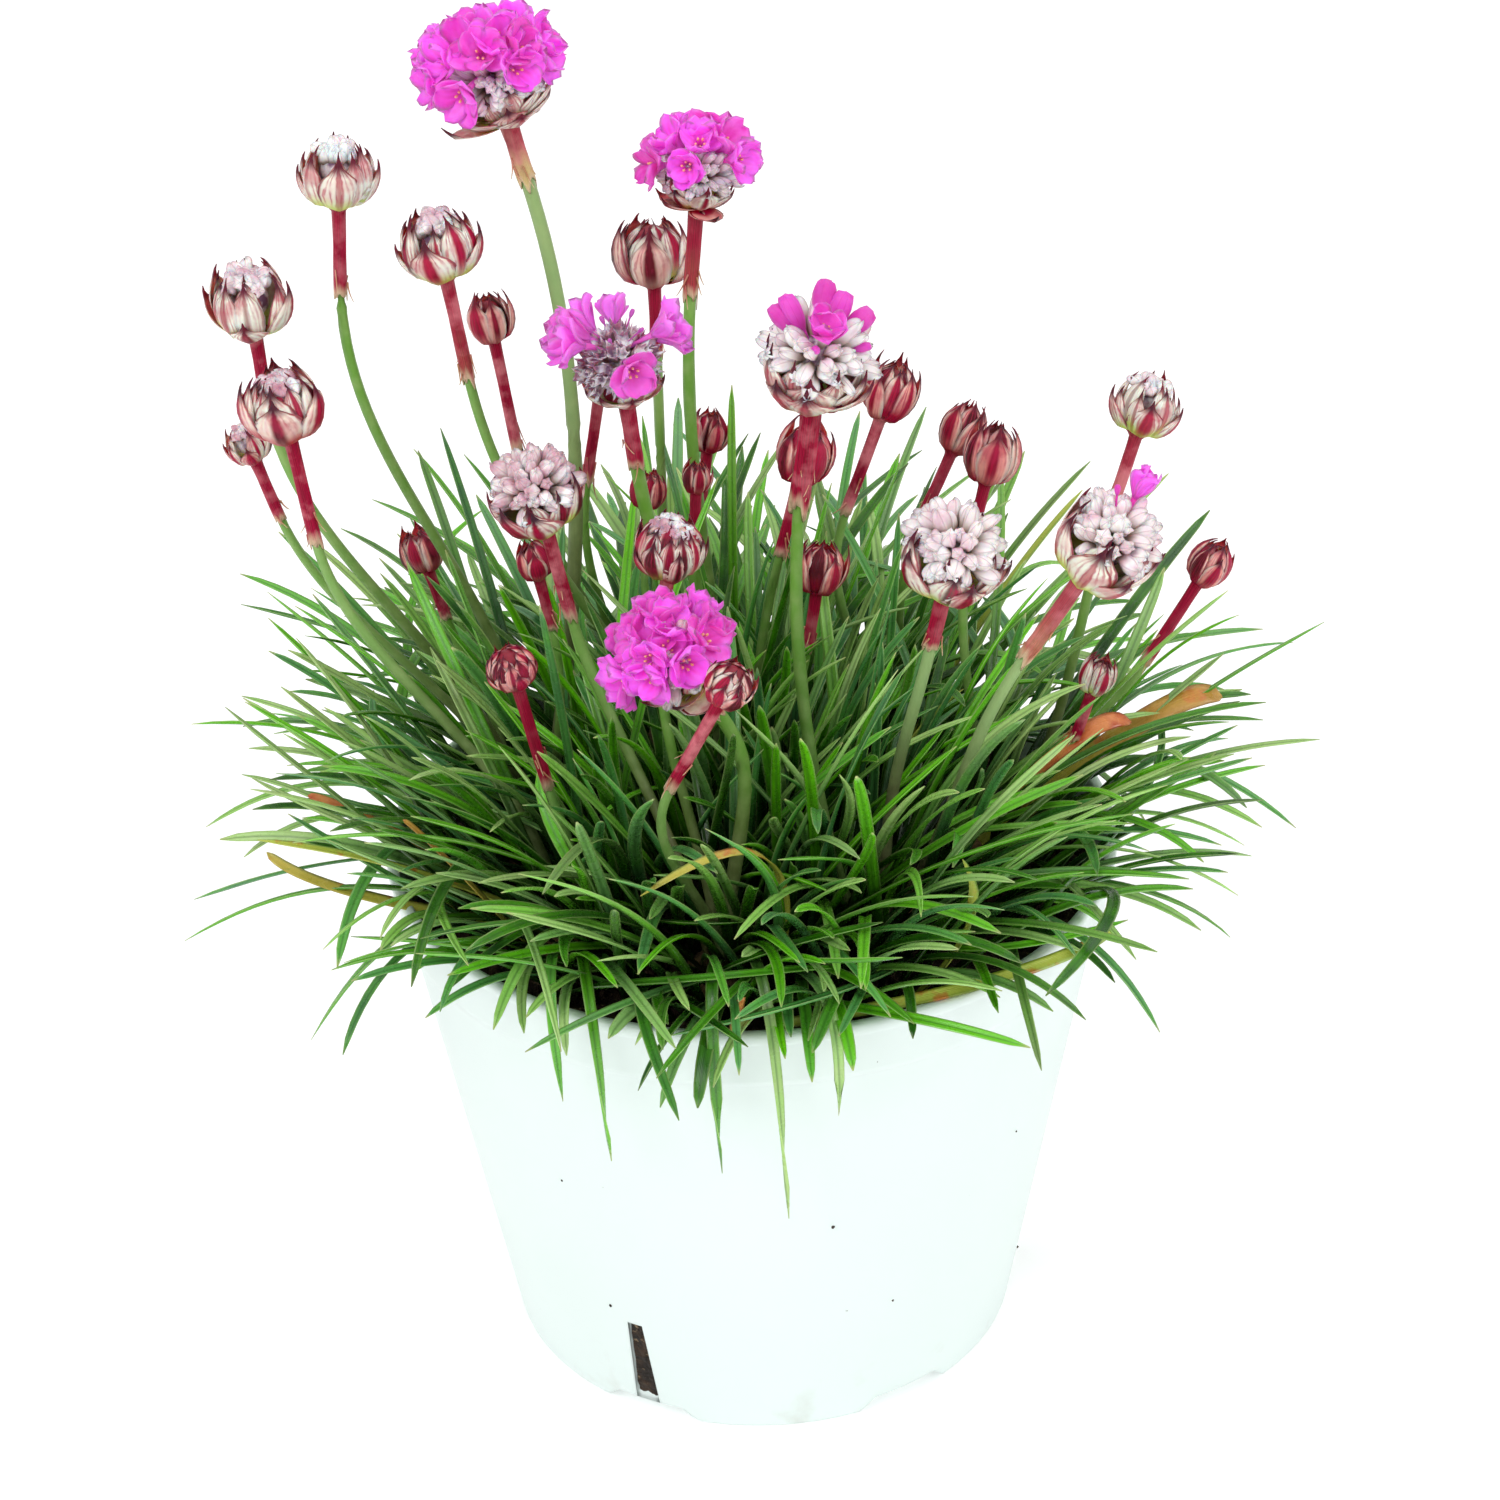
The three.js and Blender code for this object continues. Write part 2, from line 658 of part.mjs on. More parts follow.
// Papery calyces on their core, spaced by the golden angle over part of a ball
function calycesSolid(flower) {
  const cup = flower.width * cupShare[flower.stage];
  const [count, start, to, reach] = calyxPlans[flower.stage];
  const from = withCorollas.includes(flower.label) ? Math.max(start, 44) : start;
  const height = cup * 0.52;
  const core = cup * 0.2;
  const axis = new THREE.Vector3(0, 0, 1);
  const at = (z) => new THREE.Vector3(0, 0, height + z * core);
  const top = isBlooming(flower) ? 0.8 : 1.1;
  const solids = [loft([[at(-1.1)], ringOf(at(0), axis, core, 6), [at(top)]])];
  for (let k = 0; k < count; k++) {
    const polar = THREE.MathUtils.lerp(from, to, Math.sqrt((k + 0.5) / count));
    const azimuth = k * goldenAngle;
    const out = cup * reach;
    const foot = onBall(height, core * 0.55, azimuth, polar);
    solids.push(funnel(foot, onBall(height, out, azimuth, polar), cup * 0.115, 3));
  }
  return joined(solids);
}

// A corolla: a slim tube that opens into five petals joined at their throat
function corollaSolid(foot, along, length, petal, open) {
  const frame = new THREE.Quaternion().setFromUnitVectors(new THREE.Vector3(0, 0, 1), along);
  const place = (angle, out, up) =>
    new THREE.Vector3(out * Math.cos(radians(angle)), out * Math.sin(radians(angle)), up)
      .applyQuaternion(frame)
      .add(foot);
  const out = petal * (open ? 0.98 : 0.44);
  const notch = length - petal * (open ? 0.3 : 0.5);
  const points = [place(0, 0, 0), place(0, 0, length - petal * 0.6)];
  for (let k = 0; k < 5; k++) points.push(place(72 * k, petal * 0.2, length - petal * 1.1));
  for (let k = 0; k < 5; k++) {
    points.push(place(72 * k - 19, out, length), place(72 * k + 19, out, length));
    points.push(place(72 * k + 36, out * 0.5, notch));
  }
  const faces = [];
  for (let k = 0; k < 5; k++) {
    const l = (k + 1) % 5;
    const [left, right, valley, next] = [7 + 3 * k, 8 + 3 * k, 9 + 3 * k, 7 + 3 * l];
    faces.push(0, 2 + l, 2 + k);
    faces.push(2 + k, right, left, 2 + k, valley, right, 2 + k, 2 + l, valley, 2 + l, next, valley);
    faces.push(1, left, right, 1, right, valley, 1, valley, next);
  }
  const geometry = new THREE.BufferGeometry();
  geometry.setAttribute("position", new THREE.Float32BufferAttribute(points.flatMap((p) => p.toArray()), 3));
  return solidOf(geometry.setIndex(faces));
}

// How tall an open head's cluster of corollas is against its width
const clusterHeight = 0.55;

// Rings of corollas for each stage: count, polar angle and turn
const bloomRings = {
  open: [[1, 0, 0], [5, 47, 36], [6, 90, 0]],
  half: [[1, 0, 0], [5, 34, 40]],
  faded: [[5, 80, 20]],
  white: [[1, 30, 60]],
};

// Corollas on a small core above the calyces
function corollasSolid(flower) {
  const cup = flower.width * cupShare[flower.stage];
  const blooming = isBlooming(flower);
  const petal = blooming ? flower.width * 0.21 : 3.8;
  const core = cup * (blooming ? 0.18 : 0.12);
  const height = cup * (blooming ? 0.68 : 0.74) + clearance + core;
  const reach = flower.width / 2 - (blooming ? 0 : 1);
  const flat = blooming ? clusterHeight : 1;
  const axis = new THREE.Vector3(0, 0, 1);
  const at = (z) => new THREE.Vector3(0, 0, height + z * core);
  const solids = [loft([ringOf(at(-1), axis, core * 0.6, 5), ringOf(at(0), axis, core, 5), [at(1)]])];
  for (const [count, polar, turn] of bloomRings[flower.stage]) {
    const length = reach * Math.hypot(Math.sin(radians(polar)), flat * Math.cos(radians(polar)));
    for (let k = 0; k < count; k++) {
      const azimuth = turn + (360 * k) / count;
      const foot = onBall(height, core * 0.5, azimuth, polar);
      solids.push(corollaSolid(foot, onBall(0, 1, azimuth, polar), length, petal, blooming));
    }
  }
  return joined(solids);
}

// Colours and gloss
const finishes = {
  pot: { color: "#eef4f4", roughness: 0.35 },
  soil: { color: "#2a2018", roughness: 1 },
  tuft: { color: "#2f6b1f", roughness: 0.5 },
  head: { color: "#9c3547", roughness: 0.6 },
  calyces: { color: "#eadfe2", roughness: 0.7 },
  corollas: { color: "#e524c4", roughness: 0.5 },
};

// The whole plant in its pot
const plant = new THREE.Group();
plant.name = "potted_thrift";
plant.add(meshOf("pot", potSolid(), finishes.pot));
plant.add(meshOf("soil", soilSolid(), finishes.soil));

const lines = leafLines();
for (const [crown, place] of Object.entries(crowns)) {
  const stalks = flowers.filter((flower) => flower.crown === crown).map(stalkSolid);
  const leaves = lines[crown].map(leafSolid);
  plant.add(meshOf(`tuft_${crown}`, joined([crownSolid(place), ...stalks, ...leaves]), finishes.tuft));
}

for (const flower of flowers) {
  const { neck, joint, along } = measuresOf(flower);
  const upright = new THREE.Group();
  upright.position.copy(neck);
  upright.quaternion.setFromUnitVectors(new THREE.Vector3(0, 0, 1), along);
  upright.add(meshOf(`head_${flower.label}`, headSolid(flower, neck.distanceTo(joint)), finishes.head));
  if (withCalyces.includes(flower.label)) {
    upright.add(meshOf(`calyces_${flower.label}`, calycesSolid(flower), finishes.calyces));
  }
  if (withCorollas.includes(flower.label)) {
    upright.add(meshOf(`corollas_${flower.label}`, corollasSolid(flower), finishes.corollas));
  }
  plant.add(upright);
}

export default plant;
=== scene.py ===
"""A thrift in flower in its white nursery pot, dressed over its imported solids."""
import math
from collections import namedtuple

import bpy
import numpy as np
from bpy.props import FloatProperty, FloatVectorProperty, IntProperty, PointerProperty
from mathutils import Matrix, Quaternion, Vector


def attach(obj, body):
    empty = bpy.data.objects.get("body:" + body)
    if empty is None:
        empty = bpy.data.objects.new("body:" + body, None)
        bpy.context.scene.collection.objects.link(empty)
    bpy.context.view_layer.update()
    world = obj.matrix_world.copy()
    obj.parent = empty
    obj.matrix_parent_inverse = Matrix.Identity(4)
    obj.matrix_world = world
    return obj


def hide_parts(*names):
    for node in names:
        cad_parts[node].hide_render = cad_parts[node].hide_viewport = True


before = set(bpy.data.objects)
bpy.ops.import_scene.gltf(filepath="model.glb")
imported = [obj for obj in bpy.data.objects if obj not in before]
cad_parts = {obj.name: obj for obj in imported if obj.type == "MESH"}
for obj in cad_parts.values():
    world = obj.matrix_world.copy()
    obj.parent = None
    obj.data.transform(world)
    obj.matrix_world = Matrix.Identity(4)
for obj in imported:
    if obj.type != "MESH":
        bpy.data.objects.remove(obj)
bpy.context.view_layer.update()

bl_info = {
    "name": "Potted Thrift",
    "version": (1, 0, 0),
    "blender": (4, 5, 0),
    "location": "3D View > Sidebar > Thrift",
    "description": "Dresses a potted thrift: pot, soil, leaves, stalks and flower heads",
    "category": "Object",
}

MM = 0.001
GOLDEN = 137.508
BODY = "root"


# Places of the plant's parts, in millimetres, as in its solids

POT_HEIGHT = 91.0
RIM_RADIUS = 60.0
BASE_RADIUS = 43.0
POT_WALL = 1.2
POT_FLOOR = 1.6
BASE_CHAMFER = 1.3
COLLAR_HEIGHT = 11.0
COLLAR_STEP = 1.1
LIP_HEIGHT = 2.2
LIP_STEP = 0.7
BODY_TOP = POT_HEIGHT - COLLAR_HEIGHT
BODY_TOP_RADIUS = RIM_RADIUS - LIP_STEP - COLLAR_STEP - 0.8
NOTCH_COUNT = 6
NOTCH_HEIGHT = 3.0
NOTCH_HALF = 7.5
NOTCH_SLOPE = 1.6
NOTCH_DEPTH = 9.0
FIRST_NOTCH = math.radians(-117.5)
SLOT_PLACES = FIRST_NOTCH + np.radians([0, 120, 240])
SLOT_TOP = 22.0
SLOT_HALF_LOW = 2.3
SLOT_HALF_HIGH = 1.3
SOIL_TOP = 82.0
CRUMBS_REACH = 55.5
CRUMBS_AT_WALL = (51, 55.4)
CLEARANCE = 0.3

CROWNS = {
    "middle": (-2, 14),
    "front": (-4, -34),
    "front_right": (19, -20),
    "right": (38, 2),
    "back_right": (24, 30),
    "back_left": (-16, 34),
    "left": (-34, 6),
    "front_left": (-28, -24),
}
CROWN_RADIUS = 7.5
CROWN_HEIGHT = 7.0
ROOT_HEIGHT = SOIL_TOP + 3.5

# The solids' leaves: how they are drawn, their size, how far out they may reach, how often a leaf
# that finds no room is drawn again, and the room that it keeps to other things
LEAF_SEED = 20
LEAVES_PER_TUFT = 13
LEAF_WIDTH = 2.3
LEAF_THICKNESS = 0.9
LEAF_STEPS = 20
LEAF_REACH = 94.0
LEAF_TRIES = 30
LEAF_GAP = 1.75

# Leaves that the solids don't have: how far out they may reach, the room that they keep to other
# things and to leaves, how many of their first points may cross leaves of their own crown, the
# height and the radius of the ground that they are rooted in, how many are tried for each, and how
# many of the right side and then of both sides are left out
FILLER_REACH = 84.0
FILLER_GAP = 1.0
FILLER_LEAF_GAP = 0.12
FILLER_FREE = 6
FILLER_FOOT = SOIL_TOP + 1.2
FILLER_ROOTS = 50.0
FILLER_TRIES = 9
FILLER_SKIPPED = 0.35
FILLER_THINNED = {"right": 0.3, "left": 0.15}

# The short leaves over the front rim: the angle to each side of the front and the distance from the
# middle where they start, their rise and droop in degrees, their length, and how many are tried for
# each
FRINGE_SIDES = 64
FRINGE_ROOTS = (37, 49)
FRINGE_RISE = (40, 68)
FRINGE_DROOP = (75, 130)
FRINGE_LENGTH = (22, 38)
FRINGE_TRIES = 12

PLACED_LEAVES = [
    ("front", (2, -70, 128), (4, -66, 61)),
    ("front", (-8, -70, 124), (-6, -66, 70)),
    ("front_left", (-26, -64, 118), (-23, -62, 70)),
    ("front_left", (-33, -60, 116), (-30, -60, 80)),
    ("front", (14, -64, 114), (12, -63, 78)),
    ("front_left", (-52, -38, 112), (-71, -34, 75)),
    ("front_left", (-62, -24, 108), (-92, -18, 84)),
    ("left", (-66, 4, 110), (-90, 4, 92)),
    ("left", (-62, 12, 112), (-84, 16, 104)),
    ("left", (-56, 18, 118), (-76, 24, 136)),
    ("left", (-44, 14, 128), (-52, 22, 151)),
    ("middle", (-2, 20, 132), (-1, 22, 161)),
    ("middle", (6, 14, 130), (14, 18, 153)),
    ("back_right", (34, 24, 128), (45, 20, 152)),
    ("right", (62, 12, 110), (91, 8, 83)),
    ("right", (60, -10, 112), (82, -14, 97)),
    ("right", (64, 18, 114), (93, 34, 104)),
    ("right", (58, 10, 122), (76, 14, 117)),
    ("front_right", (48, -44, 112), (62, -52, 84)),
    ("front_right", (30, -64, 104), (58, -40, 97)),
    ("back_right", (48, 62, 118), (62, 70, 98)),
    ("back_left", (-30, 68, 120), (-38, 84, 92)),
    ("back_left", (-8, 70, 118), (-4, 88, 96)),
    ("back_right", (22, 68, 120), (30, 86, 94)),
]

# Crown, stage, width, middle of the head, lower end of the sheath, middle of a stalk that shows
FLOWERS = {
    "01": ("left", "open", 24, (-36.8, 20, 217.4), (-32, 19, 199.5), (-27, 18, 139)),
    "02": ("middle", "open", 19, (-5, 22, 200), (-7, 20, 179), None),
    "03": ("left", "cup", 12, (-60, 10, 204), (-61, 10, 185), (-47, 8, 138)),
    "04": ("middle", "cup", 12.5, (-45, 5, 194), (-42, 6, 172), (-27, 10, 130)),
    "05": ("left", "cup", 13, (-74, 0, 188), (-73, 2, 170), None),
    "06": ("front_left", "cup", 12, (-69, -12, 176), (-66, -10, 152), (-47, -14, 120)),
    "07": ("left", "bud", 7.5, (-78, 12, 158), (-74, 12, 145), None),
    "08": ("back_left", "bud", 7, (-39, 22, 173), (-36, 22, 151), None),
    "09": ("middle", "faded", 22, (-18, -12, 184), (-16, -10, 164), None),
    "10": ("back_left", "cup", 12, (-13, 32, 180), (-13, 30, 164), None),
    "11": ("front_right", "half", 18, (12, -22, 188), (9, -18, 161), (9, -23, 124)),
    "12": ("back_right", "bud", 8.5, (24, 22, 158), (17, 20, 139), None),
    "13": ("middle", "bud", 6, (-5, 24, 151), (-7, 22, 137), None),
    "14": ("middle", "bud", 8.5, (10, 6, 155), (6, 6, 139), None),
    "15": ("back_right", "bud", 7.5, (36, 30, 147), (30, 26, 135), None),
    "16": ("right", "bud", 8.5, (40, 14, 150), (37, 12, 138), None),
    "17": ("front_right", "white", 15, (31, -38, 161), (28, -34, 144), (23, -27, 118)),
    "18": ("front_right", "white", 14.5, (53, -44, 165), (42, -40, 145), (32, -31, 116)),
    "19": ("right", "cup", 11, (64, 8, 162), (59, 6, 146), (52, 4, 115)),
    "20": ("right", "bud", 6.5, (73, -4, 139), (64, -4, 123), None),
    "21": ("front", "white", 13.5, (-31, -20, 164), (-27, -16, 141), (-17, -23, 115)),
    "22": ("front", "cup", 11.5, (-11, -24, 156), (-13, -22, 139), None),
    "23": ("front", "open", 21.5, (-12, -46, 151), (-5, -40, 137), (-1, -36, 118)),
    "24": ("front", "cup", 8, (-2.5, -58.5, 151.5), (-11.5, -52, 131), (-11, -45, 111)),
    "25": ("front_left", "bud", 8, (-35, -40, 145), (-31, -34, 121), (-28, -28, 104)),
    "26": ("left", "bud", 6.5, (-52, 16, 135), (-49, 16, 124), None),
    "27": ("left", "bud", 5.5, (-33, 2, 140), (-31, 2, 129), None),
    "28": ("middle", "bud", 5.5, (-15, 12, 147), (-16, 12, 135), None),
    "29": ("middle", "bud", 7.5, (12, 2, 137), (10, 2, 124), None),
    "30": ("middle", "bud", 4.5, (-7, 4, 153), (-8, 4, 140), None),
    "31": ("right", "bud", 5.5, (55, -12, 124), (52, -12, 114), None),
    "32": ("back_left", "bud", 6.5, (-22, 26, 161), (-25, 24, 144), None),
}
WITH_CALYCES = ("01", "02", "03", "04", "05", "09", "11", "17", "18", "19", "21", "22")
MORE_CALYCES = ("06", "07", "23")
WITH_COROLLAS = ("01", "02", "09", "11", "18", "23")
NECK_DEPTH = {"open": 0.42, "faded": 0.44, "half": 0.56, "white": 0.5, "cup": 0.5, "bud": 0.5}
CUP_SHARE = {"bud": 1, "cup": 1, "white": 1, "half": 0.8, "open": 0.52, "faded": 0.55}
CLUSTER_HEIGHT = 0.5

# How pale and green a head's bracts are: 0 is crimson and salmon, 1 is cream and lime, and above 1
# the keels fade as well
PALENESS = {
    "01": 1.4, "02": 0.55, "03": 1.1, "04": 0.7, "05": 0.95, "06": 0.5, "07": 0.45, "08": 0.3,
    "09": 0.9, "10": 0.45, "11": 0.95, "12": 0.25, "16": 0.2, "17": 0.8, "18": 1.0, "19": 0.95,
    "20": 0.12, "21": 0.6, "22": 0.45, "23": 0.9, "24": 0.3, "25": 0.12, "26": 0.2, "31": 0.7,
}
USUAL_PALENESS = 0.08

# Heads whose bracts stand otherwise than their stage's
SHAPES = {"22": "ball", "24": "ball", "25": "ball", "10": "cone", "06": "cone", "07": "cup"}

# Sheaths that are paler, from 0 to 1, those that are wider or more ragged than the others, and how
# many torn fibres hang from them
PALE_SHEATHS = {"01": 0.85, "18": 0.3, "04": 0.12, "19": 0.15, "02": 0.1}
SHEATH_BULK = {"11": 1.3, "01": 1.08, "18": 1.1, "17": 1.08}
RAGGED = {"11": 3.6, "01": 2.6, "18": 2.2, "04": 2.2, "02": 2.8}
FIBRES = {"11": 12}
USUAL_FIBRES = 4

# Stalks that are paler and greyer than the others, or greener, from 0 to 1
PALE_STALKS = {
    "01": 0.7, "02": 0.0, "03": 0.0, "06": 0.3, "11": 0.0, "17": 0.9, "18": 0.9, "23": 0.1,
    "24": 0.35,
}

# How the calyces of some heads are coloured: 0 is white, 0.5 is flushed pink, 1 is a withered
# purple grey
FLUSH = {
    "06": 0.6, "07": 0.5, "23": 0.3, "09": 1.0, "21": 0.4, "22": 0.5, "04": 0.3, "05": 0.3,
    "19": 0.25, "17": 0.15, "18": 0.2, "02": 0.1,
}

# Rings of florets: count, polar angle, turn, share open and size
BLOOMS = {
    "01": [
        (1, 6, 0, 0.8, 1.0), (5, 40, 20, 0.8, 1.0), (8, 64, 0, 0.85, 1.0), (8, 86, 25, 0.8, 0.95),
    ],
    "02": [(1, 8, 90, 0.7, 1.0), (5, 52, 52, 0.8, 1.0), (6, 84, 22, 0.85, 0.95)],
    "09": [
        (1, 66, 172, 0.8, 1.1), (1, 62, 205, 0.8, 1.05), (1, 58, 140, 0.75, 1.0),
        (1, 48, 100, 0.55, 0.85), (1, 72, 12, 0.85, 1.15), (1, 70, 345, 0.6, 0.8),
        (1, 78, 282, 0.85, 0.95), (5, 40, 50, 0.0, 0.24),
    ],
    "11": [
        (1, 42, 182, 0.0, 0.85), (1, 24, 165, 0.0, 1.0), (1, 20, 85, 0.0, 1.05),
        (1, 15, 10, 0.0, 1.0), (1, 34, 5, 0.0, 0.85), (1, 26, 275, 0.45, 0.72),
        (1, 60, 350, 0.0, 0.4), (1, 60, 262, 0.0, 0.34),
    ],
    "18": [(1, 30, 72, 0.25, 1.0), (1, 24, 172, 0.0, 0.42)],
    "23": [
        (1, 6, 0, 0.8, 1.0), (6, 42, 10, 0.85, 1.0), (7, 70, 40, 0.85, 1.0), (2, 88, 195, 0.8, 0.9),
    ],
}

# How high the florets' middle stands against the cup's width
BLOOM_HEIGHT = {"open": 0.86, "faded": 0.86, "white": 0.62, "half": 0.5}

# A petal's length against its head's width
PETAL_SHARE = {"01": 0.255, "02": 0.29, "09": 0.27, "11": 0.41, "18": 0.32, "23": 0.26}

# A cluster of florets against its solid: the size and how much lower it stands, in millimetres
CLUSTER_FIT = {"01": (0.97, 1.7), "02": (0.97, 1.3), "09": (0.97, 1.8), "23": (0.92, 2.4)}

# Crumbs that stick to the pot's wall: azimuth, height and size
SPECKS = [
    (-77.5, 47.0, 0.3), (-13, 11, 0.3), (-64, 26, 0.2), (-37, 51, 0.18), (-128, 51, 0.2),
    (20, 60, 0.3), (75, 34, 0.4), (140, 20, 0.3), (-122.6, 24.4, 0.28),
]

# Old leaves: crown, width against a leaf's, age from 0 to 1, start, middle and tip
OLD_LEAVES = [
    ("front_right", 1.2, 0.42, (2, -50, 86), (35, -50, 92.9), (56.4, -36, 92.6)),
    ("front_right", 1.2, 0.35, (22, -44, 84), (32.5, -46, 100), (32, -44, 111.5)),
    ("front", 1.0, 0.8, (-3.6, -56, 84), (-3, -60.5, 95), (-2, -63.5, 100.5)),
    ("front", 1.15, 0.55, (3, -36, 85), (2, -49, 116), (-16.8, -58, 115.5)),
    ("front_left", 0.9, 0.7, (-34, -28, 85), (-47, -33, 107), (-53.6, -34, 115.4)),
    ("right", 1.6, 0.95, (28, -8, 84), (49, -12, 111), (61, -10, 115)),
    ("right", 2.2, 0.7, (34, -2, 84), (62, -4, 110.5), (76.4, -2, 114.6)),
    ("left", 1.0, 0.9, (-40, -6, 84), (-61, -11, 101.5), (-70.7, -12, 107)),
    ("left", 1.1, 0.6, (-38, -16, 84), (-64, -22, 95), (-77, -20, 101.6)),
]

# Where the seeds of the random numbers start. The leaves' seed is a setting, and the first two
# here are added to it.
THIN_STEP, FRINGE_STEP = 50, 80
SOIL_SEED = 3
CALYX_SEED = 100
FLORET_SEED = 200

# The picture's lights: name, place, width in metres and power in watts
LIGHTS = [
    ("key", (-0.7, -0.9, 1.1), 0.7, 9.2),
    ("fill", (0.9, -0.8, 0.9), 0.7, 6.3),
    ("top", (0.1, 0.6, 1.5), 2.0, 11.5),
]
LIGHTS_AIM = 0.1
SKY_LIGHT = 0.44
FLOOR_HALF = 4.0
FLOOR_GLOW = 0.25

# The photo's camera, found from the ellipses of the pot's rim and base
CAMERA_PLACE = (0, -0.56006, 0.43590)
CAMERA_AIM = 0.106
CAMERA_ROLL = math.radians(-1.7)
CAMERA_LENS = 96.0
CAMERA_SENSOR = 36.0
CAMERA_SHIFT = 1.0 / 1500


# Lines that leaves and stalks follow


def vec(*xyz):
    """Numbers as an array."""
    return np.array(xyz, float)


def unit(v):
    """Vectors at length 1."""
    return v / np.linalg.norm(v, axis=-1, keepdims=True)


def draws_from(seed):
    """A seeded stream of numbers from 0 to 1: each state is the last times 1664525 plus
    1013904223, kept to 32 bits."""
    state = seed
    while True:
        state = (state * 1664525 + 1013904223) % 2**32
        yield state / 2**32


Flower = namedtuple("Flower", "crown stage width cup head joint neck along radius root middle")


def flower(label):
    """A flower's row as places, with the width of its cup, its neck, the direction from its joint
    to its head, and its stalk's radius and root."""
    crown, stage, width, head, joint, middle = FLOWERS[label]
    head, joint = vec(*head), vec(*joint)
    along = unit(head - joint)
    neck = head - along * NECK_DEPTH[stage] * width
    x, y = CROWNS[crown]
    root = vec(x, y, SOIL_TOP + 4) + 3.2 * unit(vec(head[0] - x, head[1] - y, 0))
    cup, radius = width * CUP_SHARE[stage], 0.6 + 0.025 * width
    return Flower(crown, stage, width, cup, head, joint, neck, along, radius, root, middle)


def stalk_line(f, steps):
    """Points at even steps of a cubic curve from the root, upright there, to the joint, in line
    with the sheath there, and through the stalk's middle where one is given."""
    pull = 0.36 * np.linalg.norm(f.joint - f.root)
    upper = f.joint - f.along * pull
    lower = f.root + vec(0, 0, pull)
    if f.middle:
        lower = (8 * vec(*f.middle) - f.root - f.joint - 3 * upper) / 3
    t = np.linspace(0, 1, steps + 1)[:, None]
    ends = (1 - t) ** 3 * f.root + t**3 * f.joint
    return ends + 3 * (1 - t) ** 2 * t * lower + 3 * (1 - t) * t**2 * upper


def arched_line(start, over, tip):
    """A quadratic curve from a start towards a high point and down to a tip."""
    t = np.linspace(0, 1, LEAF_STEPS + 1)[:, None]
    return (1 - t) ** 2 * start + 2 * (1 - t) * t * over + t**2 * tip


def placed_line(crown, over, tip):
    """A leaf of a crown that arches under a high point to a tip."""
    x, y = CROWNS[crown]
    root = vec(x, y, ROOT_HEIGHT)
    root = root + 2.5 * unit(vec(over[0] - x, over[1] - y, 0))
    return arched_line(root, vec(*over), vec(*tip))


def old_line(start, middle, tip):
    """An old leaf's line, which passes through its middle."""
    start, middle, tip = vec(*start), vec(*middle), vec(*tip)
    return arched_line(start, 2 * middle - 0.5 * (start + tip), tip)


def walked_line(start, heading, rise, droop, curl, length):
    """Equal steps from a start: the climb falls from its first angle by the droop times the
    share walked to the power 1.4, and the heading turns evenly by the curl."""
    u = (np.arange(LEAF_STEPS) + 0.5) / LEAF_STEPS
    climb = rise - droop * u**1.4
    turn = heading + curl * u
    steps = round_axis(np.cos(climb), turn, np.sin(climb))
    walked = np.cumsum(steps * length / LEAF_STEPS, axis=0)
    return np.vstack([start, start + walked])


def drawn_line(place, index, count, draw):
    """A drawn leaf of a tuft: steep in the middle and flat at the edge, with a drawn droop."""
    x, y = place
    rank = (index + 0.5) / count
    spread = math.hypot(x, y) / 40
    azimuth = math.radians(index * GOLDEN + 50 * (next(draw) - 0.5))
    lean = math.radians(6 + 52 * rank + 14 * (next(draw) - 0.5))
    first = (
        math.cos(azimuth) * math.sin(lean) + 0.5 * spread * x / 40,
        math.sin(azimuth) * math.sin(lean) + 0.5 * spread * y / 40,
        math.cos(lean),
    )
    heading = math.atan2(first[1], first[0])
    rise = math.atan2(first[2], math.hypot(first[0], first[1]))
    droop = math.radians(12 + 62 * next(draw) * (0.45 + 0.55 * rank))
    curl = math.radians(44 * (next(draw) - 0.5))
    length = 44 + 16 * rank + 24 * next(draw)
    out = 5.4 * math.sqrt(rank)
    start = vec(x + math.cos(azimuth) * out, y + math.sin(azimuth) * out, ROOT_HEIGHT)
    return walked_line(start, heading, rise, droop, curl, length)


class Obstacles:
    """Fat lines that a leaf keeps clear of: ends, radius, crown and whether it is a leaf."""

    def __init__(self, room=40000):
        self.rows = np.empty((room, 9))
        self.size = 0
        self.names = [""] + list(CROWNS)

    def add(self, a, b, radius, crown="", leaf=False):
        """Adds one fat line between two places."""
        self.rows[self.size] = (*a, *b, radius, float(leaf), self.names.index(crown))
        self.size += 1

    def add_leaf(self, line, crown):
        """Adds a leaf, two steps of its line at a time."""
        for i in range(0, LEAF_STEPS, 2):
            self.add(line[i], line[i + 2], LEAF_WIDTH / 2 - 0.3, crown, True)

    def clear(self, line, crown, gap=LEAF_GAP, leaf_gap=LEAF_GAP, leaf_free=3):
        """True where every point of a line is at least its gap from every fat line, apart from
        the first points beside its own crown's."""
        rows = self.rows[: self.size]
        low, high = line.min(0) - 10, line.max(0) + 10
        a, b = rows[:, :3], rows[:, 3:6]
        near = (np.minimum(a, b) < high) & (np.maximum(a, b) > low)
        rows = rows[near.all(1)]
        a, b, radius, leaf = rows[:, :3], rows[:, 3:6], rows[:, 6], rows[:, 7] > 0
        own = rows[:, 8] == self.names.index(crown)
        d = b - a
        p = line[:, None, :] - a[None]
        t = np.clip((p * d).sum(2) / (d * d).sum(1), 0, 1)
        far = np.linalg.norm(p - t[:, :, None] * d, axis=2)
        room = radius + np.where(leaf, leaf_gap, gap)
        free = np.where(leaf, leaf_free, 5)
        skipped = own[None] & (np.arange(len(line))[:, None] < free[None])
        return bool(((far >= room) | skipped).all())


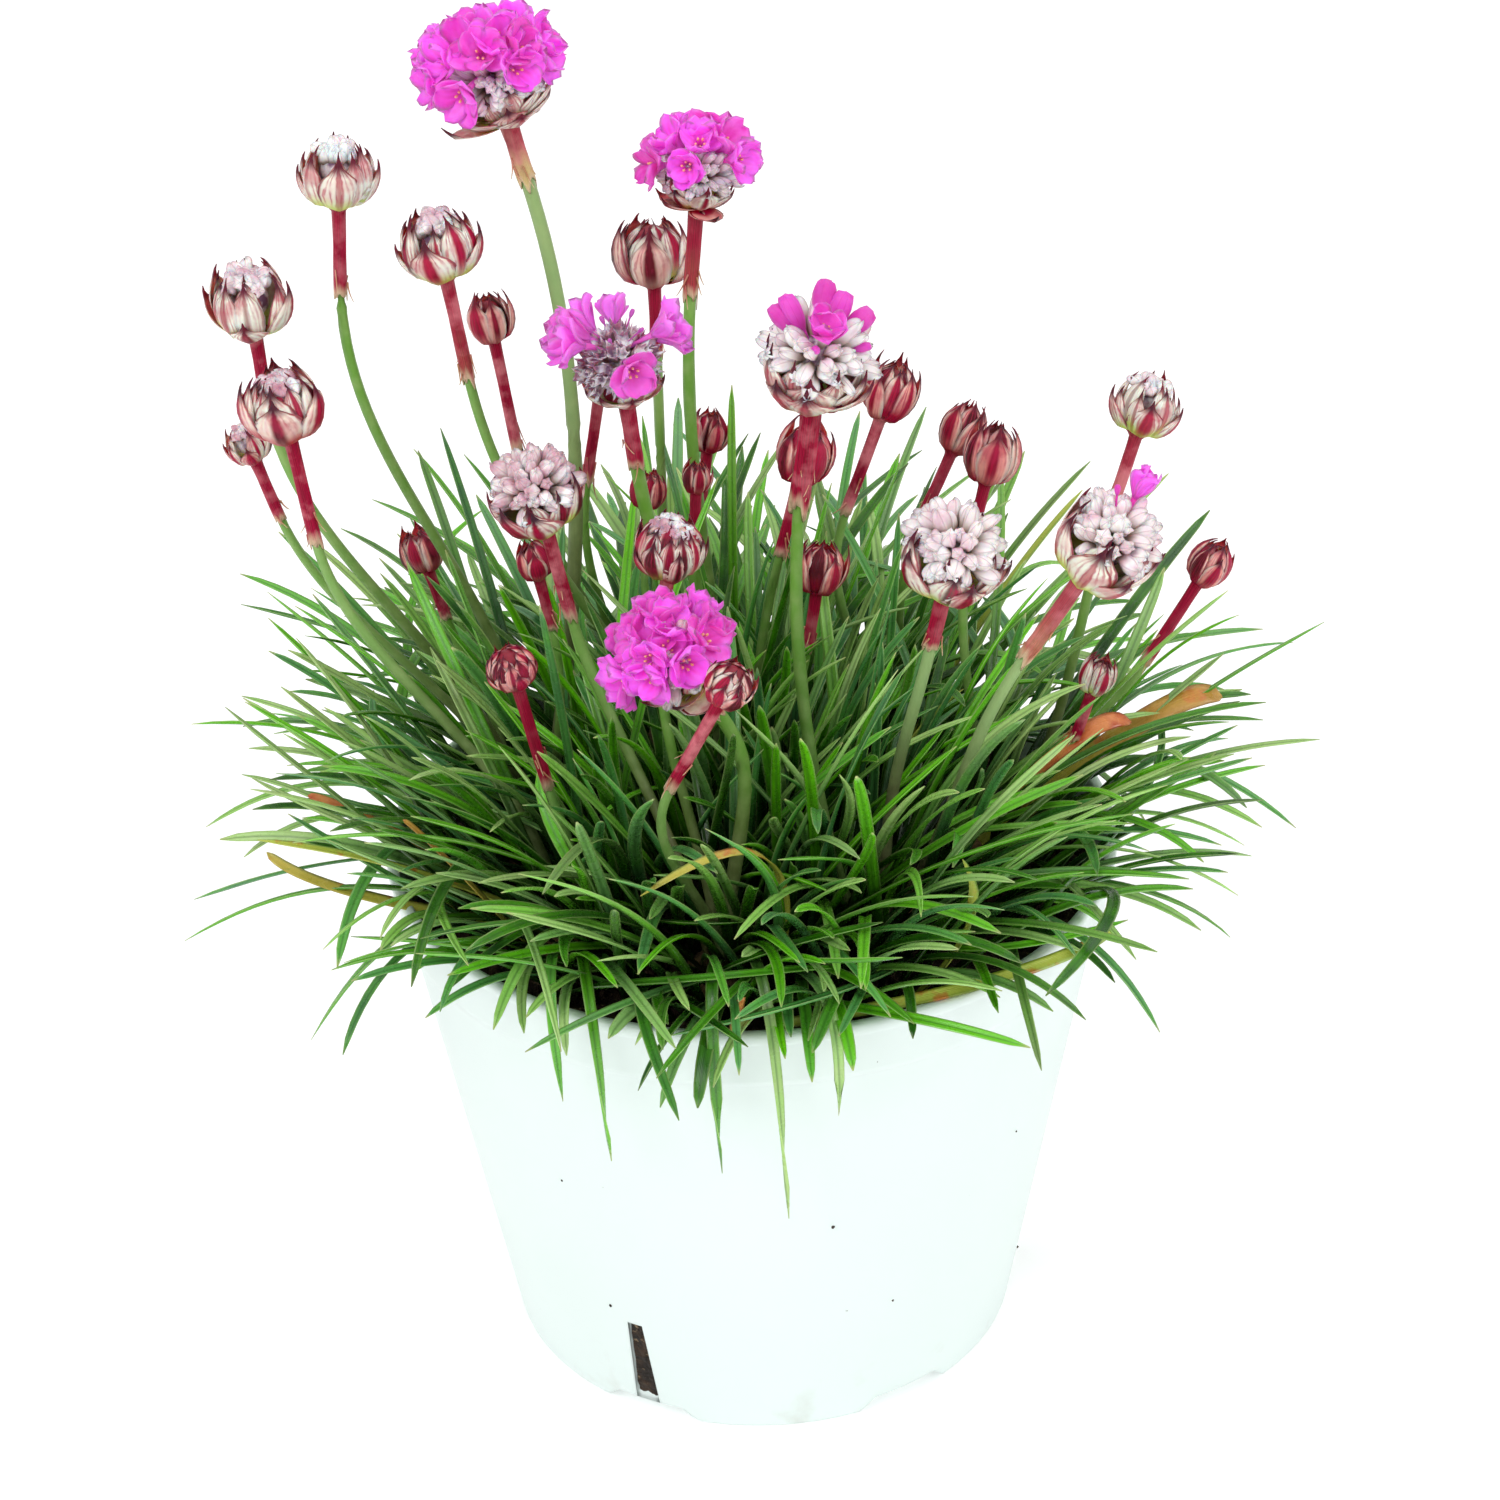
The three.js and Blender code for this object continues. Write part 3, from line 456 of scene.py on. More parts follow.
def clear_of_pot(line, reach=LEAF_REACH):
    """True where a line's points past its foot miss the pot, its rim and the soil."""
    r, z = np.hypot(line[4:, 0], line[4:, 1]), line[4:, 2]
    over = (z > POT_HEIGHT + 2) & (r < reach)
    outside = (r > RIM_RADIUS + 1.8) & (r < reach) & (z > 55)
    inside = (r < RIM_RADIUS - LIP_STEP - POT_WALL - 3) & (z > SOIL_TOP + 2.2)
    beside = (z <= POT_HEIGHT + 2) & (outside | inside)
    return bool((over | beside).all())


def flower_obstacles():
    """Stalks, sheaths, heads and crowns as fat lines."""
    found = Obstacles()
    for label in FLOWERS:
        f = flower(label)
        line = stalk_line(f, 10)
        for a, b in zip(line[:-1], line[1:]):
            found.add(a, b, f.radius, f.crown)
        found.add(f.joint, f.neck, f.radius + 0.8)
        found.add(f.head + 0.3 * (f.neck - f.head), f.head, f.width / 2 - 0.6)
    for crown, (x, y) in CROWNS.items():
        found.add(vec(x, y, SOIL_TOP), vec(x, y, SOIL_TOP + 4), CROWN_RADIUS - 1, crown)
    return found


def solid_leaves():
    """The leaf lines that the solids hold, drawn by the same rule, and what is in the way."""
    draw = draws_from(LEAF_SEED)
    way = flower_obstacles()
    lines = {crown: [] for crown in CROWNS}
    for crown, over, tip in PLACED_LEAVES:
        line = placed_line(crown, over, tip)
        lines[crown].append(line)
        way.add_leaf(line, crown)
    for index in range(LEAVES_PER_TUFT):
        for crown, place in CROWNS.items():
            for _ in range(LEAF_TRIES):
                line = drawn_line(place, index, LEAVES_PER_TUFT, draw)
                if clear_of_pot(line) and way.clear(line, crown):
                    lines[crown].append(line)
                    way.add_leaf(line, crown)
                    break
    return lines, way


def grown(line, lines, way):
    """Whether a leaf finds room past the pot, the flowers and the other leaves. It then joins the
    crown that is nearest to its foot."""
    crown = min(CROWNS, key=lambda name: math.dist(CROWNS[name], line[0, :2]))
    free = clear_of_pot(line, FILLER_REACH)
    free = free and way.clear(line, crown, FILLER_GAP, FILLER_LEAF_GAP, FILLER_FREE)
    if free:
        lines[crown].append(line)
        way.add_leaf(line, crown)
    return free


def filler_leaves(lines, way, count, seed):
    """More leaves between the solids' own, rooted all over the soil. Their lean grows with the
    distance from the plant's middle, those in front hang lower, the two sides have fewer, and they
    keep clear of heads and, loosely, of each other."""
    rng, thin = np.random.default_rng(seed), np.random.default_rng(seed + THIN_STEP)
    made = 0
    for _ in range(count * FILLER_TRIES):
        if made >= count:
            break
        r = FILLER_ROOTS * math.sqrt(rng.random())
        around = rng.random() * 2 * math.pi
        x, y = r * math.cos(around), r * math.sin(around)
        share = r / FILLER_ROOTS
        lean = math.radians(9 + 48 * share**1.1 + rng.normal() * 17)
        heading = around + rng.normal() * (0.6 + 0.9 * (1 - share) ** 2)
        if share < 0.35:
            heading = rng.random() * 2 * math.pi
        front = max(0.0, -math.sin(heading))
        sag = 88 * rng.random() ** 1.3 * (0.45 + 0.55 * share)
        droop = math.radians(8 + sag + 20 * front * share)
        curl = math.radians(rng.normal() * (30 if rng.random() < 0.8 else 90))
        length = 32 + 26 * rng.random() + 14 * share * rng.random() + 5 * front
        side = "right" if x > abs(y) * 0.6 else "left" if x < -abs(y) * 0.6 else "middle"
        if side == "right" and rng.random() < FILLER_SKIPPED:
            continue
        if thin.random() < FILLER_THINNED.get(side, 0.0):
            continue
        start = vec(x, y, FILLER_FOOT)
        line = walked_line(start, heading, math.pi / 2 - abs(lean), droop, curl, length)
        made += grown(line, lines, way)
    return lines


def fringe_leaves(way, count, seed):
    """Short leaves that arch over the front of the rim: rooted a little inside it, steep at first
    and bent down past it."""
    rng = np.random.default_rng(seed + FRINGE_STEP)
    lines = {crown: [] for crown in CROWNS}
    made = 0
    for _ in range(count * FRINGE_TRIES):
        if made >= count:
            break
        around = math.radians(-90 + rng.uniform(-FRINGE_SIDES, FRINGE_SIDES))
        x, y = vec(math.cos(around), math.sin(around)) * rng.uniform(*FRINGE_ROOTS)
        heading = around + rng.normal() * 0.45
        bends = [rng.uniform(*FRINGE_RISE), rng.uniform(*FRINGE_DROOP), rng.normal() * 25]
        start = vec(x, y, FILLER_FOOT)
        line = walked_line(start, heading, *np.radians(bends), rng.uniform(*FRINGE_LENGTH))
        made += grown(line, lines, way)
    return lines


# Surfaces as arrays


def azimuths(count):
    """Even azimuths round a ring."""
    return np.linspace(0, 2 * np.pi, count, endpoint=False)


def round_axis(radius, azimuth, height):
    """Places round the upright axis, from numbers or arrays that fit together."""
    x, y = radius * np.cos(azimuth), radius * np.sin(azimuth)
    return np.stack(np.broadcast_arrays(x, y, height), -1)


def on_ball(height, radius, azimuth, polar):
    """Places at azimuths and polar angles, in radians, from a centre on the upright axis."""
    return round_axis(radius * np.sin(polar), azimuth, height + radius * np.cos(polar))


def small_ball():
    """Five rings of a ball of radius 1, from which crumbs and specks are made."""
    return on_ball(0, 1.0, azimuths(7), np.radians([155, 120, 85, 50, 20])[:, None])


def turned_to(along):
    """The matrix of the shortest turn that takes +Z to a direction."""
    x, y, z = along
    k = np.array([[0, 0, x], [0, 0, y], [-x, -y, 0]])
    return np.eye(3) + k + k @ k / (1 + z) if z > -0.9999 else np.diag([1.0, -1.0, -1.0])


def tube_part(rings, along=None, across=None, shade=None, tone=None):
    """Closed surfaces from an array (copies, rows, columns, 3): each copy's rows are rings round
    it, joined in order, and its first and last rings close on their means. Four values go with
    each point: the share along, the place across, a shade of the copy and a tone."""
    n, rows, cols, _ = rings.shape
    poles = rings[:, [0, -1]].mean(axis=2)
    points = np.concatenate([rings.reshape(n, rows * cols, 3), poles], axis=1)
    i, j = np.meshgrid(np.arange(rows - 1), np.arange(cols), indexing="ij")
    k = (j + 1) % cols
    quads = np.stack([i * cols + j, i * cols + k, (i + 1) * cols + k, (i + 1) * cols + j], -1)
    c = np.arange(cols)
    c2 = (c + 1) % cols
    low = np.stack([c2, c, np.full(cols, rows * cols)], 1)
    last = (rows - 1) * cols
    high = np.stack([last + c, last + c2, np.full(cols, rows * cols + 1)], 1)
    offset = (np.arange(n) * points.shape[1])[:, None, None]
    quads = (quads.reshape(1, -1, 4) + offset).reshape(-1, 4)
    tris = (np.concatenate([low, high])[None] + offset).reshape(-1, 3)
    values = np.zeros((n, points.shape[1], 4))
    for slot, given in enumerate((along, across, shade, tone)):
        if given is None:
            continue
        grid = np.broadcast_to(given, (n, rows, cols)).astype(float)
        values[:, :-2, slot] = grid.reshape(n, -1)
        values[:, -2, slot] = grid[:, 0].mean(axis=1)
        values[:, -1, slot] = grid[:, -1].mean(axis=1)
    return points.reshape(-1, 3), quads, tris, values.reshape(-1, 4)


def outward(part):
    """The same surface with its faces turned outwards, judged by the volume that they enclose."""
    points, quads, tris, values = part
    fans = np.concatenate([quads[:, [0, 1, 2]], quads[:, [0, 2, 3]], tris])
    a, b, c = (points[fans[:, k]] for k in range(3))
    if (a * np.cross(b, c)).sum() < 0:
        quads, tris = quads[:, ::-1], tris[:, ::-1]
    return points, quads, tris, values


def moved(part, matrix, place):
    """A surface turned by a matrix and then moved to a place."""
    points, quads, tris, values = part
    return points @ matrix.T + place, quads, tris, values


def make_piece(name, parts, material, replaced, smooth=True):
    """One mesh object from several surfaces in millimetres, written to the mesh in metres. Its
    attributes place and tone hold the values that its material reads."""
    points, quads, tris, values, start = [], [], [], [], 0
    for p, q, t, v in map(outward, parts):
        points.append(p)
        quads.append(q + start)
        tris.append(t + start)
        values.append(v)
        start += len(p)
    points, values = np.concatenate(points) * MM, np.concatenate(values)
    quads, tris = np.concatenate(quads), np.concatenate(tris)
    mesh = bpy.data.meshes.new(name)
    mesh.vertices.add(len(points))
    mesh.vertices.foreach_set("co", points.ravel())
    mesh.loops.add(quads.size + tris.size)
    corners = np.concatenate([quads.ravel(), tris.ravel()])
    mesh.loops.foreach_set("vertex_index", corners.astype(np.int32))
    mesh.polygons.add(len(quads) + len(tris))
    starts = np.concatenate([np.arange(len(quads)) * 4, quads.size + np.arange(len(tris)) * 3])
    mesh.polygons.foreach_set("loop_start", starts.astype(np.int32))
    mesh.update(calc_edges=True)
    mesh.polygons.foreach_set("use_smooth", np.full(len(mesh.polygons), smooth))
    place = mesh.attributes.new("place", "FLOAT_VECTOR", "POINT")
    place.data.foreach_set("vector", values[:, :3].ravel())
    tone = mesh.attributes.new("tone", "FLOAT", "POINT")
    tone.data.foreach_set("value", values[:, 3].copy())
    mesh.materials.append(material)
    piece = bpy.data.objects.new(name, mesh)
    bpy.context.scene.collection.objects.link(piece)
    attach(piece, BODY)
    if replaced:
        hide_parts(*replaced)
    return piece


def swept(lines, section, turn=None):
    """Sections carried along lines (copies, rows, 3): the sideways vector lies level across the
    way ahead, and the section's first two numbers run along it and the upward normal. A turn
    rolls the section about the line."""
    ahead = unit(np.gradient(lines, axis=1))
    side = np.stack([-ahead[..., 1], ahead[..., 0], np.zeros(ahead.shape[:2])], -1)
    side = unit(side + vec(1e-9, 0, 0))
    up = np.cross(ahead, side)
    if turn is not None:
        c, s = np.cos(turn)[..., None], np.sin(turn)[..., None]
        side, up = c * side + s * up, c * up - s * side
    sideways = section[..., 0:1] * side[:, :, None, :]
    return lines[:, :, None, :] + sideways + section[..., 1:2] * up[:, :, None, :]


# Leaves, crowns and stalks

# A leaf's section: sideways place against its half width, height against its thickness, and the
# place across that its colours read
LEAF_SECTION = [
    (-1, 0.12, -1), (-0.55, 0.05, -0.55), (0, -0.25, 0), (0.55, 0.05, 0.55), (1, 0.12, 1),
    (0.45, -0.62, 0.3), (-0.45, -0.62, -0.3),
]
LEAF_WIDTHS = ([0, 0.12, 0.4, 0.8, 0.93, 0.97, 1], [0.8, 0.92, 1.0, 0.92, 0.74, 0.5, 0.1])
YELLOWING = 0.01


def leaf_part(lines, rng, width, thickness, ages=None):
    """Leaves along their lines: a shallow channel above, a rounded keel below, widest before the
    middle and drawn in to a blunt tip, each with a slight twist. Leaves with ages are old ones that
    turn their upper face to the front. Where no ages are given, a few are drawn as yellowing."""
    lines = np.array(lines)
    n, rows = lines.shape[:2]
    u = np.linspace(0, 1, rows)
    tip = np.clip((1 - u) / 0.08, 0, 1)
    stout = 0.64 + 0.34 * rng.random((n, 1))
    half = 0.5 * np.reshape(width, (-1, 1)) * np.interp(u, *LEAF_WIDTHS) * stout
    thick = thickness * (0.2 + 0.8 * tip) * (1.05 - 0.4 * u) * np.ones((n, 1))
    sideways, upward, across = np.array(LEAF_SECTION, float).T
    section = np.stack([half[..., None] * sideways, thick[..., None] * upward], -1)
    roll = rng.normal(0, 0.4, (n, 1)) * u + rng.normal(0, 0.1, (n, 1))
    if ages is not None:
        roll = 0.3 * roll + 0.6 * unit(lines[:, -1] - lines[:, 0])[:, :1]
    rings = swept(lines, section, roll)
    shade = rng.random((n, 1, 1))
    age = np.where(rng.random((n, 1, 1)) < YELLOWING, 0.2 + 0.3 * rng.random((n, 1, 1)), 0.0)
    if ages is not None:
        age = np.reshape(ages, (n, 1, 1))
    return tube_part(rings, u[None, :, None], across[None, None], shade, age)


def crown_part(place):
    """A crown: a low lumpy dome on a stock that stands in the soil."""
    profile = [
        (4.4, SOIL_TOP - 6.9), (4.5, SOIL_TOP + 1), (7.3, SOIL_TOP + 2.8), (6.6, SOIL_TOP + 4.6),
        (4.6, SOIL_TOP + 5.9), (1.6, SOIL_TOP + CROWN_HEIGHT - 0.2),
    ]
    a = azimuths(18)
    r, z = np.array(profile).T[..., None]
    r = r * (1 + 0.06 * np.sin(5 * a + r))
    return tube_part((round_axis(r, a, z) + vec(*place, 0))[None], 0.0, 0.0, 0.5, 1.0)


def stalk_part(label, rng):
    """A stalk: a round tube with faint ridges, slightly thinner towards its head, whose end
    stands in the sheath's mouth."""
    f = flower(label)
    line = np.vstack([stalk_line(f, 34), f.joint + f.along * 0.6, f.joint + f.along * 2])
    t = np.linspace(0, 1, len(line))
    a = azimuths(12)
    ridges = np.cos(6 * a)
    girth = 0.9 * f.radius * (1.1 - 0.1 * t)[:, None] * (1 + 0.035 * ridges)
    rings = swept(line[None], round_axis(girth, a, 0)[None])
    pale = PALE_STALKS.get(label, 0.3 * rng.random())
    return tube_part(rings, t[None, :, None], ridges[None, None], rng.random(), pale)


# Flower heads, each made upright with its neck at the origin


def sheath_part(length, radius, cup, rng, ragged, bulk, pale):
    """A sheath: a tube that widens into the cup's floor above. Its lower edge is torn into uneven
    teeth that lie on the stalk, and its inside goes up round the stalk's end."""
    a = azimuths(28)
    one = np.ones(len(a))
    outer, inner = (radius + 0.3) * 0.84 * bulk, 0.9 * radius + 0.06
    lobes = 0.5 + 0.5 * np.sin(5 * a + rng.random() * 6)
    lobes = lobes * (0.6 + 0.4 * np.sin(2 * a + rng.random() * 6))
    end = -length - 0.3 - ragged * (lobes + 0.25 * rng.random(len(a)))
    rows = [(cup * (0.28 - 0.5 * w), cup * w, 0.0) for w in (0.0, 0.1, 0.27)]
    rows.append((cup * 0.06, 0.5 * (outer + cup * 0.2), 0.02))
    rough = 0.03 + 0.05 * (bulk - 1) / 0.3
    for share in np.linspace(0, 1, 13):
        folds = 1 + rough * np.sin(3 * a + 5 * share) + rough * np.sin(8 * a + 9 * share)
        swell = 1 + 0.05 * share**2 + 0.1 * (1 - share) ** 6
        rows.append((end * share, outer * folds * swell, share))
    mouth = -length + 2.4
    rows += [(end + 0.05, inner + 0.02, 1.0), (mouth, inner, 1.0), (mouth, 0.02, 1.0)]
    z, r, s = (np.array([row[k] * one for row in rows]) for k in range(3))
    streaks = np.sin(3 * a)[None, None]
    return tube_part(round_axis(r, a, z)[None], s[None], streaks, rng.random(), pale)


def fibres_part(length, radius, count, rng):
    """Fibres torn from a sheath's lower edge: hair-thin tapering threads that hang beside the
    stalk and bend away from it."""
    t = np.linspace(0, 1, 7)[None, :]
    a = rng.random((count, 1)) * 2 * np.pi
    start = -length * rng.uniform(0.6, 1.0, (count, 1))
    fall = rng.uniform(1.2, 4.2, (count, 1))
    out = radius + 0.35 + rng.uniform(0.1, 1.1, (count, 1)) * t**2
    lines = round_axis(out, a + rng.normal(0, 0.5, (count, 1)) * t, start - fall * t)
    rings = swept(lines, round_axis((0.16 - 0.1 * t)[..., None], azimuths(4), 0))
    return tube_part(rings, 0.7 + 0.3 * t[..., None], 0.0, 0.5, 0.5)


# How wide a bract is along its length, and how far from the cup's middle
BRACT_WIDTHS = (
    [0, 0.12, 0.36, 0.58, 0.74, 0.84, 0.89, 0.93, 1],
    [0.3, 0.55, 0.9, 1, 0.86, 0.5, 0.22, 0.09, 0.02],
)
BRACT_BULGE = ([0, 0.1, 0.25, 1], [0.6, 0.9, 1, 1])


def bracts_part(whorl, cup, azimuth, pale, rng):
    """Bracts of one whorl: thin shells over part of a ball, boat shaped with a blunt end and a fine
    spine that rises from it. Each has a low keel outside, and leans out by its own share of the
    flare."""
    count, low, tip, half, share, flare, ridge, paler = whorl
    low, tip, half = np.radians([low, tip, half])
    radius, thick = cup * share, 0.014 * cup + 0.06
    v = np.array([0, 0.07, 0.16, 0.28, 0.42, 0.56, 0.68, 0.78, 0.85, 0.9, 0.95, 1.0])
    u, inside = two_faces()
    turn = azimuth + 2 * np.pi * np.arange(count) / count + rng.normal(0, 0.2, count)
    reach = tip + rng.normal(0, 0.16, count)
    polar = low + (reach[:, None] - low) * v
    span = half * np.interp(v, *BRACT_WIDTHS) * (1 + rng.normal(0, 0.12, (count, 1)))
    span = span / np.maximum(np.sin(polar), 0.5)
    az = turn[:, None, None] + span[..., None] * u
    own = 0.4 + 1.2 * rng.random((count, 1))
    out = radius * np.interp(v, *BRACT_BULGE) + flare * cup / WHORLS_CUP * own * v**2.2
    middle = np.sin(np.pi * v[:, None])
    keel = ridge * cup / WHORLS_CUP * (1 - np.abs(u)) ** 1.6 * middle**0.5
    wall = inside * thick * (1 - 0.5 * v[:, None])
    curl = 0.05 * radius * np.abs(u) ** 3 * middle
    ring = on_ball(cup * 0.5, out[..., None] + keel - wall - curl, az, polar[..., None])
    ring[..., 2] += (1.1 * radius * own * np.clip(v - 0.86, 0, 1))[..., None]
    across = np.where(inside > 0, 0.6, u)[None, None]
    return tube_part(ring, v[None, :, None], across, rng.random((count, 1, 1)), pale + paler)


def two_faces():
    """The places across a bract or petal, over its one face and back over the other, and 1 where
    they are on the second."""
    u = np.concatenate([np.linspace(-1, 1, 7), np.linspace(0.75, -0.75, 5)])
    return u, np.repeat([0.0, 1.0], (7, 5))


# Whorls of each kind of cup: count, polar angles of foot and tip, half width, radius share, flare,
# ridge and how much paler they are than the first, in degrees and millimetres on a cup 12 mm wide
WHORLS = {
    "bud": [
        (5, 170, 34, 34, 0.5, 1.3, 0.6, -0.05),
        (5, 164, 18, 34, 0.47, 0.5, 0.4, 0.1),
        (4, 160, 8, 40, 0.44, 0.1, 0.3, 0.1),
    ],
    "cone": [
        (4, 168, 62, 40, 0.5, 0.6, 0.6, -0.1),
        (5, 164, 42, 34, 0.48, 0.2, 0.5, 0.15),
        (5, 158, 26, 30, 0.44, 0.0, 0.4, 0.35),
        (4, 150, 12, 30, 0.39, 0.0, 0.3, 0.3),
    ],
    "ball": [
        (5, 168, 76, 30, 0.455, 0.4, 0.5, -0.1),
        (6, 162, 58, 27, 0.445, 0.1, 0.5, 0.1),
        (5, 150, 40, 30, 0.43, 0.0, 0.5, -0.1),
        (5, 140, 24, 30, 0.415, 0.0, 0.4, 0.15),
        (4, 120, 8, 32, 0.4, 0.0, 0.3, 0.0),
    ],
    "cup": [
        (4, 168, 76, 36, 0.46, 0.9, 0.6, -0.1),
        (6, 164, 50, 29, 0.45, 0.3, 0.55, 0.05),
        (6, 158, 36, 25, 0.42, 0.1, 0.4, 0.15),
    ],
    "white": [
        (5, 166, 90, 34, 0.5, 0.8, 0.6, 0.0),
        (5, 162, 70, 32, 0.49, 0.4, 0.5, 0.1),
        (5, 158, 58, 26, 0.45, 0.1, 0.4, 0.2),
    ],
    "half": [
        (5, 170, 120, 24, 0.51, 0.5, 0.6, -0.8),
        (5, 166, 98, 36, 0.53, 1.1, 0.6, 0.0),
        (6, 162, 84, 30, 0.52, 0.8, 0.5, 0.05),
        (7, 158, 74, 24, 0.47, 0.6, 0.4, 0.05),
    ],
    "open": [
        (5, 166, 122, 34, 0.53, 3.0, 0.6, -0.25),
        (6, 162, 102, 30, 0.52, 1.9, 0.5, 0.0),
        (7, 158, 90, 24, 0.49, 1.2, 0.4, 0.05),
    ],
    "faded": [
        (5, 166, 112, 34, 0.5, 1.2, 0.5, 0.0),
        (6, 162, 96, 28, 0.48, 0.7, 0.4, 0.05),
    ],
}
WHORLS_CUP = 12

# How tall a kind of cup is against a round one
TALLNESS = {"bud": 1.2}

# Calyces of each stage: how many, polar angles of the first and the last, reach and size against
# the cup's width, and whether they are closed
CALYX_PLANS = {
    "cup": (14, 0, 42, 0.41, 0.105, True),
    "bud": (12, 0, 40, 0.42, 0.105, True),
    "white": (56, 0, 92, 0.5, 0.076, True),
    "half": (56, 8, 98, 0.58, 0.076, True),
    "open": (84, 6, 106, 0.62, 0.076, True),
    "faded": (76, 0, 104, 0.5, 0.076, False),
}


def calyces_part(count, height, core, reach, start, end, size, closed, tone, rng):
    """Calyces: ribbed papery cups from a core outwards, spaced by the golden angle. Each widens
    from its foot and has five folds. It ends in a blunt ragged bud, or in five teeth round a
    hollow."""
    rows, cols = 10, 15
    v = np.linspace(0, 1, rows)
    a = azimuths(cols)
    k = np.arange(count)
    polar = start + (end - start) * np.sqrt((k + 0.5) / count)
    azimuth = np.radians(k * GOLDEN)
    if closed:
        z = np.array([0, 0.22, 0.44, 0.6, 0.74, 0.85, 0.93, 0.99, 1.03, 1.03])
        r = np.array([0.15, 0.5, 0.8, 0.97, 1.0, 0.95, 0.82, 0.6, 0.32, 0.04])
        teeth = np.interp(z, [0.7, 1], [0, 0.07])
    else:
        z = np.array([0, 0.25, 0.5, 0.72, 0.9, 1.02, 0.98, 0.86, 0.76, 0.72])
        r = np.array([0.15, 0.4, 0.62, 0.82, 1.0, 1.2, 1.08, 0.8, 0.45, 0.05])
        teeth = np.array([0, 0, 0, 0, 0.05, 0.14, 0.12, 0.04, 0, 0])
    rings = np.empty((count, rows, cols, 3))
    for i in range(count):
        fold = 1 + 0.15 * np.cos(5 * a) + 0.06 * np.cos(10 * a + rng.random() * 6)
        fold = fold + rng.normal(0, 0.05, cols)
        stretch = (reach - core) * rng.uniform(0.78, 1.16)
        girth = size * rng.uniform(0.75, 1.2)
        bend = rng.normal(0, 0.16, 2) * size
        local = round_axis(r[:, None] * fold * girth, a, 0.0)
        local[..., :2] += bend * 3 * z[:, None, None] ** 2
        torn = teeth[:, None] * (np.cos(5 * a) + rng.normal(0, 0.4, cols))
        local[..., 2] = (z[:, None] + torn) * stretch
        way = on_ball(0, 1.0, azimuth[i] + rng.normal(0, 0.14), polar[i] + rng.normal(0, 0.1))
        rings[i] = local @ turned_to(way).T + on_ball(height, core, azimuth[i], polar[i])
    shade = rng.random((count, 1, 1))
    return tube_part(rings, v[None, :, None], np.cos(5 * a)[None, None], shade, tone)


FURLED_COLUMNS = 20


def petal_rings(petal, spread, cupping, rng):
    """Five petals round a throat at the origin, and how high their tips stand. A petal runs out
    on an arc that bends from upright to the spread angle. It is widest at two thirds, slightly
    notched at its tip, cupped across, and tilted so that one edge lies over its neighbour."""
    v = np.linspace(0, 1, 10)
    u, back = two_faces()
    body = np.sin(0.5 * np.pi * np.clip(v / 0.66, 0, 1)) ** 1.1
    end = np.sqrt(np.clip(1 - (np.clip(v - 0.66, 0, 1) / 0.35) ** 2, 0, 1))
    half = petal * 0.44 * (0.16 + 0.84 * body * end)
    uu, vv = np.meshgrid(u, v)
    rings = []
    for k in range(5):
        turn = 2 * np.pi * k / 5 + rng.normal(0, 0.1)
        angle = (spread + rng.normal(0, 0.22)) * v**0.7
        stride = petal * rng.uniform(0.88, 1.06) / (len(v) - 1)
        steps = np.stack([np.sin(angle), np.cos(angle)], -1) * stride
        way = np.cumsum(steps, axis=0) - steps[:1]
        lift = cupping * petal * uu**2 * np.sin(0.5 * np.pi * vv) + 0.1 * petal * uu * vv
        lift = lift + 0.045 * petal * np.sin(4 * uu + 3 * k + rng.random()) * vv**2
        lift = lift - back * 0.05 * petal * (1 - 0.7 * np.abs(uu))
        notch = 0.12 * petal * (1 - np.abs(uu)) ** 1.5 * np.clip((vv - 0.72) / 0.28, 0, 1)
        sine, cosine = np.sin(angle)[:, None], np.cos(angle)[:, None]
        out = 0.3 + way[:, :1] - notch * sine - lift * cosine
        rise = way[:, 1:] - notch * cosine + lift * sine
        side = half[:, None] * uu
        c, s = np.cos(turn), np.sin(turn)
        rings.append(np.stack([out * c - side * s, out * s + side * c, rise], -1))
    return np.array(rings), v, u, float(np.sum(np.cos(spread * v**0.7)) * petal / len(v))


def closed_rings(length):
    """A closed floret: an egg of five furled petals that overlap in a slight spiral."""
    v = np.linspace(0, 1, 10)
    a = azimuths(FURLED_COLUMNS)
    r = length * 0.235 * (0.32 + 0.68 * np.sin(np.pi * np.clip(v, 0.0, 0.97) ** 1.35) ** 0.6)
    r[-1] = length * 0.04
    furl = 1 + 0.09 * ((5 * a[None] / (2 * np.pi) + 0.7 * v[:, None]) % 1.0 - 0.5)
    z = v[:, None] * length * (1 + 0.04 * np.cos(5 * a))
    z[-1] = length * 0.97
    return (round_axis(r[:, None] * furl, a, z) * vec(0.92, 1.08, 1))[None], v


def bloom_places(label):
    """Each floret of a bloom: its polar angle, azimuth, share open and size."""
    for count, polar, turn, opening, size in BLOOMS[label]:
        for k in range(count):
            yield polar, turn + 360 * k / count, opening, size


